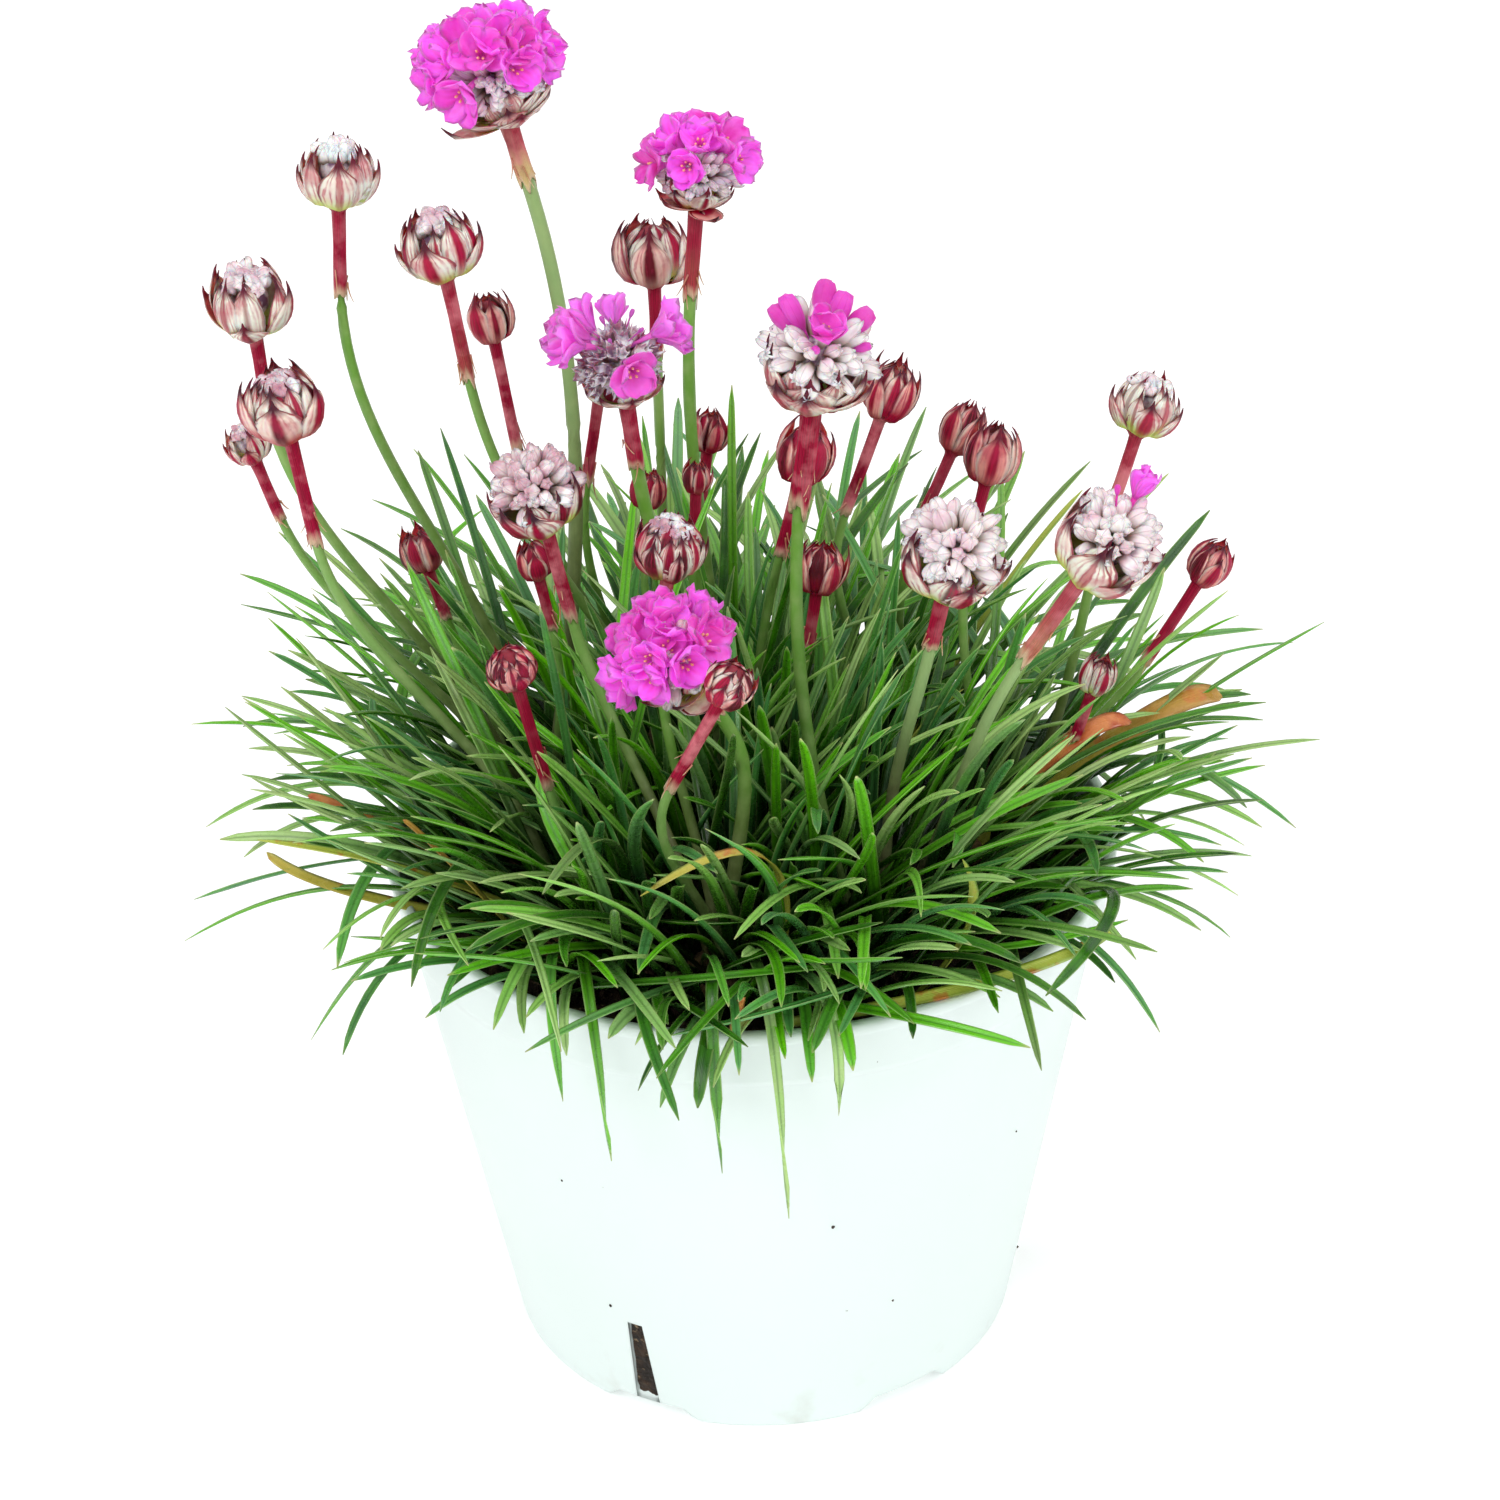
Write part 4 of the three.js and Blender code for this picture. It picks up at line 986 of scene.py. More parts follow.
def florets_parts(label, rng):
    """The florets of a bloom, over a dome: open ones are bells of five petals with their stamens,
    young and withered ones are furled. Each stands on its pale tube."""
    _, stage, width, cup, *_ = flower(label)
    blooming = stage in ("open", "faded")
    scale, drop = CLUSTER_FIT.get(label, (1.0, 0.0))
    height = cup * BLOOM_HEIGHT[stage] + (CLEARANCE if blooming else 0) - drop
    a = azimuths(8)
    parts, stems = [], []
    for polar, turn, opening, size in bloom_places(label):
        az = math.radians(turn + rng.normal() * 7)
        po = math.radians(polar + rng.normal() * 5)
        petal = PETAL_SHARE[label] * width * size * rng.uniform(0.9, 1.1)
        spin = rng.random() * 2 * math.pi
        c, s = math.cos(spin), math.sin(spin)
        matrix = turned_to(on_ball(0, 1.0, az, po)) @ np.array([[c, -s, 0], [s, c, 0], [0, 0, 1]])
        if opening > 0:
            spread = math.radians(18 + 56 * opening * rng.uniform(0.7, 1.2))
            rings, v, across, rise = petal_rings(petal, spread, 0.16, rng)
            tone = {"faded": 0.75, "half": 0.1}.get(stage, 0.0)
        else:
            rings, v = closed_rings(petal)
            across, rise = np.sin(5 * azimuths(FURLED_COLUMNS)), petal
            tone = 0.9 if stage == "faded" else 0.4
        dome = math.hypot(math.sin(po), CLUSTER_HEIGHT * math.cos(po))
        reach = width / 2 * rng.uniform(0.92, 1.03) * dome * scale
        if not blooming:
            reach = cup / 2 + petal * 0.72
        elif not opening:
            reach *= 0.8
        foot = max(1.0, reach - rise)
        throat = on_ball(height, foot, az, po)
        bell = rings @ matrix.T + throat
        parts.append(tube_part(bell, v[None, :, None], across[None, None], rng.random(), tone))
        girth = np.array([0.25, 0.3, 0.42, 0.5])[:, None] * petal / 5
        z = np.array([-1, -0.5, -0.15, 0.05])[:, None] * (foot - 0.3)
        tube = round_axis(girth, a, z)[None] @ matrix.T + throat
        parts.append(tube_part(tube, 0.05, 0.0, 0.5, tone))
        if opening > 0.4:
            for i in range(5):
                b = 2 * math.pi * (i + 0.5) / 5 + rng.normal() * 0.1
                ends = round_axis(vec(0.25, 0.14 * petal), b, vec(0.1, 0.45 * petal))
                stems.append(ends @ matrix.T + throat)
    return parts, stems


def anther_part(stems):
    """Stamens: hair-thin stems that end in small seed-shaped anthers."""
    stems = np.array(stems)
    share = np.array([0, 0.8, 0.86, 0.95, 1.06, 1.1])
    girth = np.array([0.06, 0.06, 0.17, 0.24, 0.17, 0.04])[:, None]
    lines = stems[:, :1] + (stems[:, 1:] - stems[:, :1]) * share[None, :, None]
    rings = swept(lines, round_axis(girth, azimuths(5), 0)[None])
    return tube_part(rings, share[None, :, None], 0.0, 0.5, 0.0)


def core_part(height, radius, tall, tone):
    """A small egg that fills the middle of a cup behind its bracts or florets."""
    p = np.linspace(3.0, 0.12, 7)[:, None]
    ring = round_axis(radius * np.sin(p), azimuths(14), height + tall * np.cos(p))
    return tube_part(ring[None], 0.5, 0.0, 0.4, tone)


# Shader groups and materials

# How far light spreads inside thin papery pieces, in metres, and how strongly the petals'
# painted glow shines, painted light in place of light that shines through them
THIN_SCATTER = 0.0012
PAINTED_PETAL_GLOW = 0.075


def linear(*screen):
    """Screen values from 0 to 255 as linear light."""
    shares = (value / 255 for value in screen)
    return tuple(s / 12.92 if s < 0.0404 else ((s + 0.055) / 1.055) ** 2.4 for s in shares)


def new_group(name, inputs):
    """A node group with float inputs of given defaults and one output, a mask."""
    group = bpy.data.node_groups.new(name, "ShaderNodeTree")
    for label, value in inputs.items():
        socket = group.interface.new_socket(label, in_out="INPUT", socket_type="NodeSocketFloat")
        socket.default_value = value
    group.interface.new_socket("Mask", in_out="OUTPUT", socket_type="NodeSocketFloat")
    given = group.nodes.new("NodeGroupInput").outputs
    return group, given, group.nodes.new("NodeGroupOutput").inputs["Mask"]


def feed(tree, socket, value):
    """Gives a socket a number, a colour or another socket's output."""
    if isinstance(value, (int, float)):
        socket.default_value = value
    elif isinstance(value, tuple):
        socket.default_value = (*value, 1.0)
    else:
        tree.links.new(value, socket)


def math_node(tree, operation, *values):
    """The result of an operation on numbers or other nodes' results."""
    node = tree.nodes.new("ShaderNodeMath")
    node.operation = operation
    for socket, value in zip(node.inputs, values):
        feed(tree, socket, value)
    return node.outputs[0]


def noise_node(tree, vector, **settings):
    """Noise at a vector, as a value."""
    node = tree.nodes.new("ShaderNodeTexNoise")
    feed(tree, node.inputs["Vector"], vector)
    for name, value in settings.items():
        feed(tree, node.inputs[name], value)
    return node.outputs[0]


def mottle_group():
    """Soft blotches: noise on Object coordinates at a scale, between two limits."""
    group, given, out = new_group("Thrift Mottle", {"Scale": 200.0, "Low": 0.35, "High": 0.65})
    coords = group.nodes.new("ShaderNodeTexCoord")
    noise = noise_node(group, coords.outputs["Object"], Detail=4.0, Scale=given["Scale"])
    reach = group.nodes.new("ShaderNodeMapRange")
    for name, value in (("Value", noise), ("From Min", given["Low"]), ("From Max", given["High"])):
        group.links.new(value, reach.inputs[name])
    group.links.new(reach.outputs["Result"], out)
    return group


def veins_group():
    """Fine lines along a surface: waves over the place across, moved by noise."""
    inputs = {"Across": 0.0, "Along": 0.0, "Count": 6.0, "Waver": 0.5}
    group, given, out = new_group("Thrift Veins", inputs)
    place = group.nodes.new("ShaderNodeCombineXYZ")
    group.links.new(given["Across"], place.inputs[0])
    group.links.new(given["Along"], place.inputs[1])
    noise = noise_node(group, place.outputs[0], Scale=3.0)
    waver = math_node(group, "MULTIPLY", noise, given["Waver"])
    wave = math_node(group, "ADD", given["Across"], waver)
    wave = math_node(group, "MULTIPLY", wave, given["Count"])
    wave = math_node(group, "SINE", math_node(group, "MULTIPLY", wave, math.pi))
    group.links.new(math_node(group, "MULTIPLY_ADD", wave, 0.5, 0.5), out)
    return group


class Finish:
    """A material being built: its tree, its surface shader, the values that its pieces carry, and
    the colour that its coats have made so far."""

    groups = {}

    def __init__(self, name, roughness, **settings):
        self.material = bpy.data.materials.new(name)
        self.material.use_nodes = True
        self.tree = self.material.node_tree
        self.shader = self.tree.nodes["Principled BSDF"]
        self.shader.inputs["Roughness"].default_value = roughness
        for socket, value in settings.items():
            feed(self.tree, self.shader.inputs[socket.replace("_", " ")], value)
        place = self.attribute("place").outputs["Vector"]
        split = self.tree.nodes.new("ShaderNodeSeparateXYZ")
        self.tree.links.new(place, split.inputs[0])
        self.along, self.across, self.shade = split.outputs
        self.tone = self.attribute("tone").outputs["Fac"]
        self.body = None

    def attribute(self, name):
        """A node that reads one of the pieces' attributes."""
        node = self.tree.nodes.new("ShaderNodeAttribute")
        node.attribute_name = name
        return node

    def group(self, key, **values):
        """The mask of a shared node group with inputs of its own."""
        node = self.tree.nodes.new("ShaderNodeGroup")
        node.node_tree = Finish.groups[key]
        for name, value in values.items():
            feed(self.tree, node.inputs[name], value)
        return node.outputs[0]

    def mottle(self, scale, low=0.35, high=0.65):
        """Soft blotches, from 0 to 1 between two limits."""
        return self.group("mottle", Scale=float(scale), Low=low, High=high)

    def veins(self, count, waver):
        """Fine lines along the piece."""
        place = {"Across": self.across, "Along": self.along}
        return self.group("veins", **place, Count=float(count), Waver=waver)

    def calc(self, operation, *values):
        """A number worked out from others in the material."""
        return math_node(self.tree, operation, *values)

    def times(self, a, b):
        """The product of two numbers in the material."""
        return self.calc("MULTIPLY", a, b)

    def other_shade(self, factor):
        """A second value from 0 to 1 of each copy, made from its shade."""
        return self.calc("FRACT", self.times(self.shade, factor))

    def ramp(self, value, low, high, to_low=0.0, to_high=1.0):
        """A smooth step of a value between two limits, from one number to another."""
        node = self.tree.nodes.new("ShaderNodeMapRange")
        node.interpolation_type = "SMOOTHSTEP"
        limits = {"From Min": low, "From Max": high, "To Min": to_low, "To Max": to_high}
        for name, given in {"Value": value, **limits}.items():
            feed(self.tree, node.inputs[name], given)
        return node.outputs["Result"]

    def mix(self, factor, a, b):
        """The first colour where the factor is 0 and the second where it is 1."""
        node = self.tree.nodes.new("ShaderNodeMix")
        node.data_type = "RGBA"
        node.clamp_factor = True
        sockets = {socket.identifier: socket for socket in node.inputs}
        for name, value in (("Factor_Float", factor), ("A_Color", a), ("B_Color", b)):
            feed(self.tree, sockets[name], value)
        return next(s for s in node.outputs if s.identifier == "Result_Color")

    def coat(self, mask, colour, strength=1.0):
        """Lays a colour over the body where a mask says, at a strength."""
        if strength != 1.0:
            mask = self.times(mask, strength)
        self.body = self.mix(mask, self.body, colour)

    def rough(self, mask, reach, least):
        """Roughness that grows from its least by a reach as a mask does."""
        value = self.calc("MULTIPLY_ADD", mask, reach, least)
        self.tree.links.new(value, self.shader.inputs["Roughness"])

    def bump(self, height, strength, distance):
        """A fine relief in the surface's shading, its distance in metres."""
        node = self.tree.nodes.new("ShaderNodeBump")
        for name, value in (("Height", height), ("Strength", strength), ("Distance", distance)):
            feed(self.tree, node.inputs[name], value)
        self.tree.links.new(node.outputs["Normal"], self.shader.inputs["Normal"])

    def painted(self):
        """The material with its body as its base colour."""
        self.tree.links.new(self.body, self.shader.inputs["Base Color"])
        return self.material


def leaf_finish(colours):
    """Green leaves, each of its own tone, with painted shade that deepens towards the foot and in
    the channel, painted highlights along the margins, some paler leaves whose painted light grows
    towards the tip, and a pale tip. Old leaves go from yellow green to orange brown."""
    f = Finish("Thrift leaf", 0.4, Specular_IOR_Level=0.65)
    fresh = tuple(colours.leaf_fresh)
    f.body = f.mix(f.ramp(f.shade, 0.05, 0.85), tuple(colours.leaf_deep), fresh)
    f.coat(f.ramp(f.other_shade(7.0), 0.5, 0.8, 0.0, 0.85), tuple(colours.leaf_blue))
    # Some leaves paler in their own tone, with painted light that grows towards their tips
    pale = f.ramp(f.other_shade(23.0), 0.46, 1.0, 0.0, 0.8)
    f.coat(f.times(pale, f.ramp(f.along, 0.25, 0.85)), linear(198, 228, 146))
    f.coat(f.mottle(160, 0.35, 0.7), fresh, 0.35)
    away = f.calc("ABSOLUTE", f.across)
    # Painted highlights along the margins
    f.coat(f.ramp(away, 0.72, 1.0), linear(198, 232, 142), 0.65)
    # Painted shade in the channel down the middle of the leaf
    f.coat(f.ramp(away, 0.35, 0.0), linear(18, 72, 14), 0.45)
    # Painted shade that darkens each leaf towards its foot, deep inside the tuft
    f.coat(f.ramp(f.along, 0.85, 0.12, 0.0, 0.97), linear(3, 32, 0))
    dry = f.times(f.ramp(f.along, 0.965, 1.0), f.ramp(f.shade, 0.2, 0.8, 0.2, 0.8))
    f.coat(dry, linear(206, 206, 140))
    wilted = f.times(f.ramp(f.tone, 0.0, 0.4), f.ramp(f.across, -1.0, -0.2, 0.3, 1.0))
    f.coat(wilted, linear(198, 208, 84))
    scar = f.times(f.mottle(190, 0.57, 0.64), f.ramp(f.tone, 0.3, 0.42))
    f.coat(scar, linear(208, 106, 44), 0.75)
    ripe = f.times(f.ramp(f.tone, 0.4, 0.9), f.ramp(f.along, 0.05, 0.6))
    f.coat(ripe, f.mix(f.mottle(240, 0.4, 0.6), linear(236, 150, 90), linear(200, 92, 50)))
    f.rough(f.mottle(420, 0.3, 0.7), 0.16, 0.2)
    f.bump(f.veins(9, 0.08), 0.25, 0.00012)
    return f.painted()


def stalk_finish(colours):
    """Stalks: dark olive low down to fresh green below the head, some pale grey green all the way,
    and finely ridged."""
    f = Finish("Thrift stalk", 0.42)
    f.body = f.mix(f.shade, linear(96, 98, 56), linear(84, 122, 50))
    f.coat(f.ramp(f.along, 0.25, 0.8), tuple(colours.stalk))
    f.coat(f.tone, f.mix(f.ramp(f.along, 0.3, 0.85), linear(120, 118, 82), linear(160, 190, 128)))
    f.coat(f.mottle(300, 0.4, 0.7), linear(176, 196, 130), 0.3)
    f.coat(f.ramp(f.along, 0.94, 1.0), linear(206, 214, 150))
    f.bump(f.veins(3, 0.1), 0.3, 0.0001)
    return f.painted()


def bract_finish(colours):
    """Bracts: salmon with a broad crimson foot and keel on red heads, cream with a yellow green
    foot and a narrow maroon keel on pale ones, finely streaked and drawn out into a dark spine."""
    f = Finish(
        "Thrift bract", 0.46, Specular_IOR_Level=0.2, Subsurface_Weight=0.35,
        Subsurface_Scale=THIN_SCATTER)
    crimson = tuple(colours.bract_red)
    away = f.calc("ABSOLUTE", f.across)
    veins = f.veins(8, 0.4)

    f.body = f.mix(f.ramp(f.tone, 0.1, 0.6), linear(252, 158, 148), tuple(colours.bract_cream))
    f.coat(veins, linear(214, 90, 120), 0.2)
    f.coat(f.mottle(330, 0.42, 0.66), linear(216, 84, 112), 0.3)
    f.coat(f.ramp(away, 0.55, 0.9), linear(255, 236, 220), 0.6)
    rise = f.calc("MULTIPLY_ADD", f.shade, 0.3, 0.4)
    foot = f.mix(f.ramp(f.tone, 0.35, 0.7), crimson, tuple(colours.bract_green))
    f.coat(f.ramp(f.calc("SUBTRACT", rise, f.along), 0.0, 0.3), foot)

    keel = f.calc("MULTIPLY_ADD", f.tone, -0.56, 0.78)
    narrowing = f.times(f.along, f.calc("MULTIPLY_ADD", f.tone, -0.3, 0.3))
    keel = f.calc("SUBTRACT", keel, narrowing)
    keel = f.times(keel, f.ramp(f.other_shade(17.0), 0.0, 1.0, 0.45, 1.25))
    keel = f.calc("SUBTRACT", keel, away)
    keel = f.times(f.ramp(keel, -0.1, 0.12), f.ramp(f.along, 0.2, 0.55, 0.3, 1.0))
    keel = f.times(keel, f.ramp(f.tone, 0.8, 1.1, 1.0, 0.6))
    red = f.mix(f.ramp(f.other_shade(9.0), 0.3, 0.9), crimson, linear(84, 10, 26))
    f.coat(keel, f.mix(f.times(veins, 0.5), red, linear(72, 8, 26)))

    streaks = f.times(f.ramp(veins, 0.55, 0.9), f.mottle(260, 0.42, 0.58))
    f.coat(f.times(streaks, f.ramp(f.along, 0.25, 0.6, 0.1, 0.6)), linear(176, 36, 74))
    edge = f.times(f.ramp(away, 0.8, 0.94), f.ramp(f.shade, 0.25, 0.6))
    f.coat(f.times(edge, f.ramp(f.along, 0.1, 0.45, 0.0, 0.85)), linear(164, 30, 70))
    blush = f.times(f.mottle(210, 0.5, 0.6), f.ramp(f.along, 0.3, 0.8))
    f.coat(blush, linear(182, 34, 74), 0.55)
    f.coat(f.ramp(f.along, 0.8, 0.92), f.mix(f.shade, linear(96, 24, 48), linear(58, 30, 44)))
    f.bump(veins, 0.35, 0.00012)
    return f.painted()


def sheath_finish(colours):
    """Sheaths: crimson with lengthwise streaks and pale pink patches that are painted highlights,
    cream at the torn edge. Pale ones are pink and buff."""
    f = Finish("Thrift sheath", 0.48, Specular_IOR_Level=0.15)
    veins = f.veins(4, 0.6)
    f.body = f.mix(f.times(veins, 0.65), tuple(colours.bract_red), linear(96, 10, 30))
    buff = f.mix(f.ramp(f.along, 0.3, 0.9), linear(200, 120, 120), linear(222, 206, 140))
    f.coat(f.times(f.tone, f.mottle(200, 0.28, 0.5)), buff)
    # Pale pink patches: painted highlights on the crimson
    pale = f.times(f.mottle(260, 0.46, 0.66), f.ramp(f.shade, 0.0, 0.7))
    f.coat(pale, linear(244, 150, 160), 0.55)
    f.coat(f.ramp(f.along, 0.84, 1.0, 0.0, 0.85), linear(232, 208, 172))
    f.bump(veins, 0.4, 0.00015)
    return f.painted()


def calyx_finish(colours):
    """Calyces: papery white with thin purple grey ribs and a brown pink foot. Flushed ones are pink
    in patches and withered ones purple grey with white edges."""
    f = Finish("Thrift calyx", 0.65, Subsurface_Weight=0.4, Subsurface_Scale=THIN_SCATTER)
    own = f.calc("MULTIPLY_ADD", f.ramp(f.shade, 0.4, 0.9), 0.35, 0.1)
    flush = f.times(f.mottle(300, 0.4, 0.62), own)
    f.body = f.mix(flush, tuple(colours.calyx), linear(206, 130, 170))
    pink = f.times(f.ramp(f.tone, 0.0, 0.6), f.mottle(420, 0.38, 0.6))
    f.coat(pink, linear(184, 92, 128), 0.75)
    rib = f.times(f.ramp(f.across, 0.3, 0.95), f.ramp(f.along, 0.2, 0.5))
    f.coat(rib, linear(140, 84, 124), 0.4)
    faded = f.mix(f.mottle(500, 0.42, 0.58), linear(134, 96, 126), linear(236, 228, 232))
    f.coat(f.ramp(f.tone, 0.75, 0.95), faded)
    f.coat(f.ramp(f.along, 0.5, 0.1, 0.0, 0.85), linear(150, 120, 88))
    f.bump(f.across, 0.3, 0.0001)
    return f.painted()


def petal_finish(colours):
    """Petals: bright magenta with a faint glow of painted light, in place of daylight that shines
    through thin petals, deeper in the throat, at the edge and along fine veins, with lighter and
    darker florets. Furled young ones are deeper, withered ones paler and more purple."""
    bright, deep = tuple(colours.petal), tuple(colours.petal_deep)
    # The emission is painted light: a glow in place of daylight through the thin petals
    f = Finish(
        "Thrift petal", 0.5, Sheen_Weight=0.15, Subsurface_Weight=0.35,
        Subsurface_Scale=THIN_SCATTER, Emission_Color=bright, Emission_Strength=PAINTED_PETAL_GLOW)
    veins = f.veins(5, 0.25)
    f.body = f.mix(f.ramp(f.shade, 0.2, 0.95, 0.0, 0.65), bright, deep)
    f.coat(f.ramp(f.along, 0.0, 0.42, 1.0, 0.0), deep, 0.85)
    f.coat(f.times(veins, f.ramp(f.along, 1.0, 0.3)), deep, 0.5)
    f.coat(f.ramp(f.calc("ABSOLUTE", f.across), 0.78, 1.0), deep, 0.55)
    f.coat(f.mottle(380, 0.4, 0.7), linear(255, 146, 250), 0.5)
    f.coat(f.ramp(f.tone, 0.5, 0.8), linear(236, 140, 232), 0.35)
    young = f.times(f.ramp(f.tone, 0.2, 0.35), f.ramp(f.tone, 0.6, 0.5))
    f.coat(young, linear(190, 6, 146), 0.6)
    f.coat(f.ramp(f.tone, 0.8, 0.95), linear(140, 60, 140))
    f.bump(veins, 0.2, 0.0001)
    return f.painted()


def anther_finish():
    """Anthers: pale orange on pink stems."""
    f = Finish("Thrift anther", 0.6)
    f.body = f.mix(f.ramp(f.along, 0.75, 0.9), linear(244, 120, 200), linear(250, 196, 140))
    f.coat(f.mottle(900), linear(255, 230, 190), 0.3)
    return f.painted()


def pot_finish(colours):
    """White plastic, slightly cool, with faint scuffs, faint brownish grey patches that grow
    towards the bottom, and a few specks.
    """
    f = Finish("Pot plastic", 0.34, Specular_IOR_Level=0.4)
    f.body = tuple(colours.pot)
    f.coat(f.mottle(24, 0.45, 0.8), linear(224, 236, 232), 0.35)
    # Faint brownish grey patches that grow towards the bottom of the pot
    low_brown_patches = f.times(f.mottle(90, 0.6, 0.78), f.ramp(f.along, 0.22, 0.0))
    f.coat(low_brown_patches, linear(170, 160, 140), 0.35)
    f.coat(f.mottle(620, 0.765, 0.79), linear(74, 64, 52), 0.85)
    f.rough(f.mottle(60, 0.3, 0.75), 0.2, 0.28)
    f.bump(f.mottle(700, 0.2, 0.8), 0.06, 0.0001)
    return f.painted()


def soil_finish(colours):
    """Potting soil: nearly black crumbs with brown and pale bits."""
    f = Finish("Potting soil", 0.95)
    f.body = tuple(colours.soil)
    f.coat(f.mottle(420, 0.4, 0.7), linear(78, 58, 42))
    f.coat(f.mottle(900, 0.62, 0.7), linear(150, 128, 100), 0.8)
    f.coat(f.shade, linear(96, 74, 54), 0.35)
    f.bump(f.mottle(520, 0.2, 0.8), 0.8, 0.0012)
    return f.painted()


def crown_finish():
    """Crowns: brown and straw, the old leaf bases."""
    f = Finish("Thrift crown", 0.85)
    f.body = f.mix(f.mottle(380), linear(64, 48, 30), linear(120, 96, 56))
    f.bump(f.mottle(600, 0.2, 0.8), 0.6, 0.0008)
    return f.painted()


# Pot and soil surfaces


# The places of columns over a slot, how far columns are gathered beside its middle, the place that
# marks the other columns, the height of the slots' lower edge, and how many points of the profile
# the notches may lift
SLOT_COLUMNS = (-0.99999, -0.5, 0, 0.5, 0.99999)
SLOT_REACH = math.radians(9)
PLAIN = 9.0
SLOT_FOOT = 3.2
LOW_POINTS = 13


def pot_radius(z):
    """The outer radius of the pot's plain body at a height."""
    share = (z - BASE_CHAMFER) / (BODY_TOP - BASE_CHAMFER)
    return BASE_RADIUS + (BODY_TOP_RADIUS - BASE_RADIUS) * share


def slot_half(z):
    """Half the width of a drain slot at a height: it narrows evenly upwards."""
    return SLOT_HALF_LOW + (SLOT_HALF_HIGH - SLOT_HALF_LOW) * np.clip(z / SLOT_TOP, 0, 1)


def pot_profile():
    """The pot's section as radius and height: the underside, the rounded base edge, the straight
    wall, the collar, the rolled rim, the inner wall, the ledge over the notches and the floor."""
    collar = BODY_TOP_RADIUS + COLLAR_STEP
    lip = POT_HEIGHT - LIP_HEIGHT
    inner_rim = RIM_RADIUS - LIP_STEP - POT_WALL
    ledge = NOTCH_HEIGHT + POT_FLOOR
    bend = np.radians([20, 45, 70, 90])
    wall = (2.2, SLOT_FOOT, 4.4, 6, 10, 16, 21.6, 22.4, 30, 45, 60, 72, 78, BODY_TOP - 0.2)
    inner = (78.6, 72, 60, 45, 30, 22.4, 21.6, 16, 10, 6.0, 4.8)
    return np.array([
        *((r, 0.0) for r in (2, 18, 33.0, 34.5, 38, 40.5)),
        *zip(BASE_RADIUS - BASE_CHAMFER * (1 - np.sin(bend)), BASE_CHAMFER * (1 - np.cos(bend))),
        *((pot_radius(z), z) for z in wall),
        (BODY_TOP_RADIUS + 0.35, BODY_TOP + 0.2),
        (collar - 0.2, BODY_TOP + 0.9),
        (collar, BODY_TOP + 1.6),
        (RIM_RADIUS - LIP_STEP - 0.1, lip - 0.3),
        (RIM_RADIUS - 0.35, lip + 0.15),
        (RIM_RADIUS - 0.05, lip + 0.7),
        (RIM_RADIUS, POT_HEIGHT - 0.7),
        (RIM_RADIUS - 0.25, POT_HEIGHT - 0.15),
        (RIM_RADIUS - 0.8, POT_HEIGHT),
        (inner_rim + 0.2, POT_HEIGHT - 0.1),
        (inner_rim, POT_HEIGHT - 0.5),
        (collar - POT_WALL, BODY_TOP + 1.4),
        *((pot_radius(z) - POT_WALL, z) for z in inner),
        (BASE_RADIUS - 2.4, ledge),
        (33.2, ledge),
        (31.6, POT_FLOOR),
        (16, POT_FLOOR),
        (2, POT_FLOOR),
    ])


def pot_columns():
    """The pot's columns as an azimuth and a place beside it. At a slot the azimuth is the slot's
    middle, and the place runs from minus one to one over its width and on to two beside it. The
    other columns are plain."""
    columns = []
    for i, centre in enumerate(SLOT_PLACES):
        follow = SLOT_PLACES[(i + 1) % 3] + (2 * math.pi if i == 2 else 0)
        columns += [(centre, s) for s in SLOT_COLUMNS]
        columns += [(centre, 1 + w) for w in np.linspace(0.12, 1, 6)[:-1]]
        columns += [(a, PLAIN) for a in np.linspace(centre + SLOT_REACH, follow - SLOT_REACH, 84)]
        columns += [(follow, -1 - w) for w in np.linspace(1, 0.12, 6)[1:]]
    return columns


def pot_part():
    """The pot: its profile carried round, with the columns at each slot following the slot's
    slanted edges, and the low points under each notch raised to the notch's height. The quads
    inside a slot are left out of both walls, and strips join the two walls round it."""
    profile, columns = pot_profile(), pot_columns()
    r, z = profile[:, 0], profile[:, 1]
    half = slot_half(z) / np.where(r > 36, r, 40)
    az = np.empty((len(profile), len(columns)))
    for j, (base, s) in enumerate(columns):
        if s == PLAIN:
            az[:, j] = base
        elif abs(s) <= 1:
            az[:, j] = base + s * half
        else:
            az[:, j] = base + np.sign(s) * (half + (abs(s) - 1) * (SLOT_REACH - half))
    rr = np.repeat(r[:, None], len(columns), 1)
    zz = np.repeat(z[:, None], len(columns), 1)
    turn = 2 * math.pi / NOTCH_COUNT
    off = np.abs((az - FIRST_NOTCH + turn / 2) % turn - turn / 2) * np.maximum(rr, 30)
    top = NOTCH_HEIGHT * np.clip((NOTCH_HALF + NOTCH_SLOPE - off) / (2 * NOTCH_SLOPE), 0, 1)
    deep = np.clip((rr - (BASE_RADIUS - NOTCH_DEPTH)) / 1.2, 0, 1)
    zz[:LOW_POINTS] = np.maximum(zz, top * deep)[:LOW_POINTS]
    heights = np.clip(zz / POT_HEIGHT, 0, 1)[None]
    part = tube_part(round_axis(rr, az, zz)[None], heights, 0.0, 0.5, 0.0)
    return cut_slots(part, profile, columns)


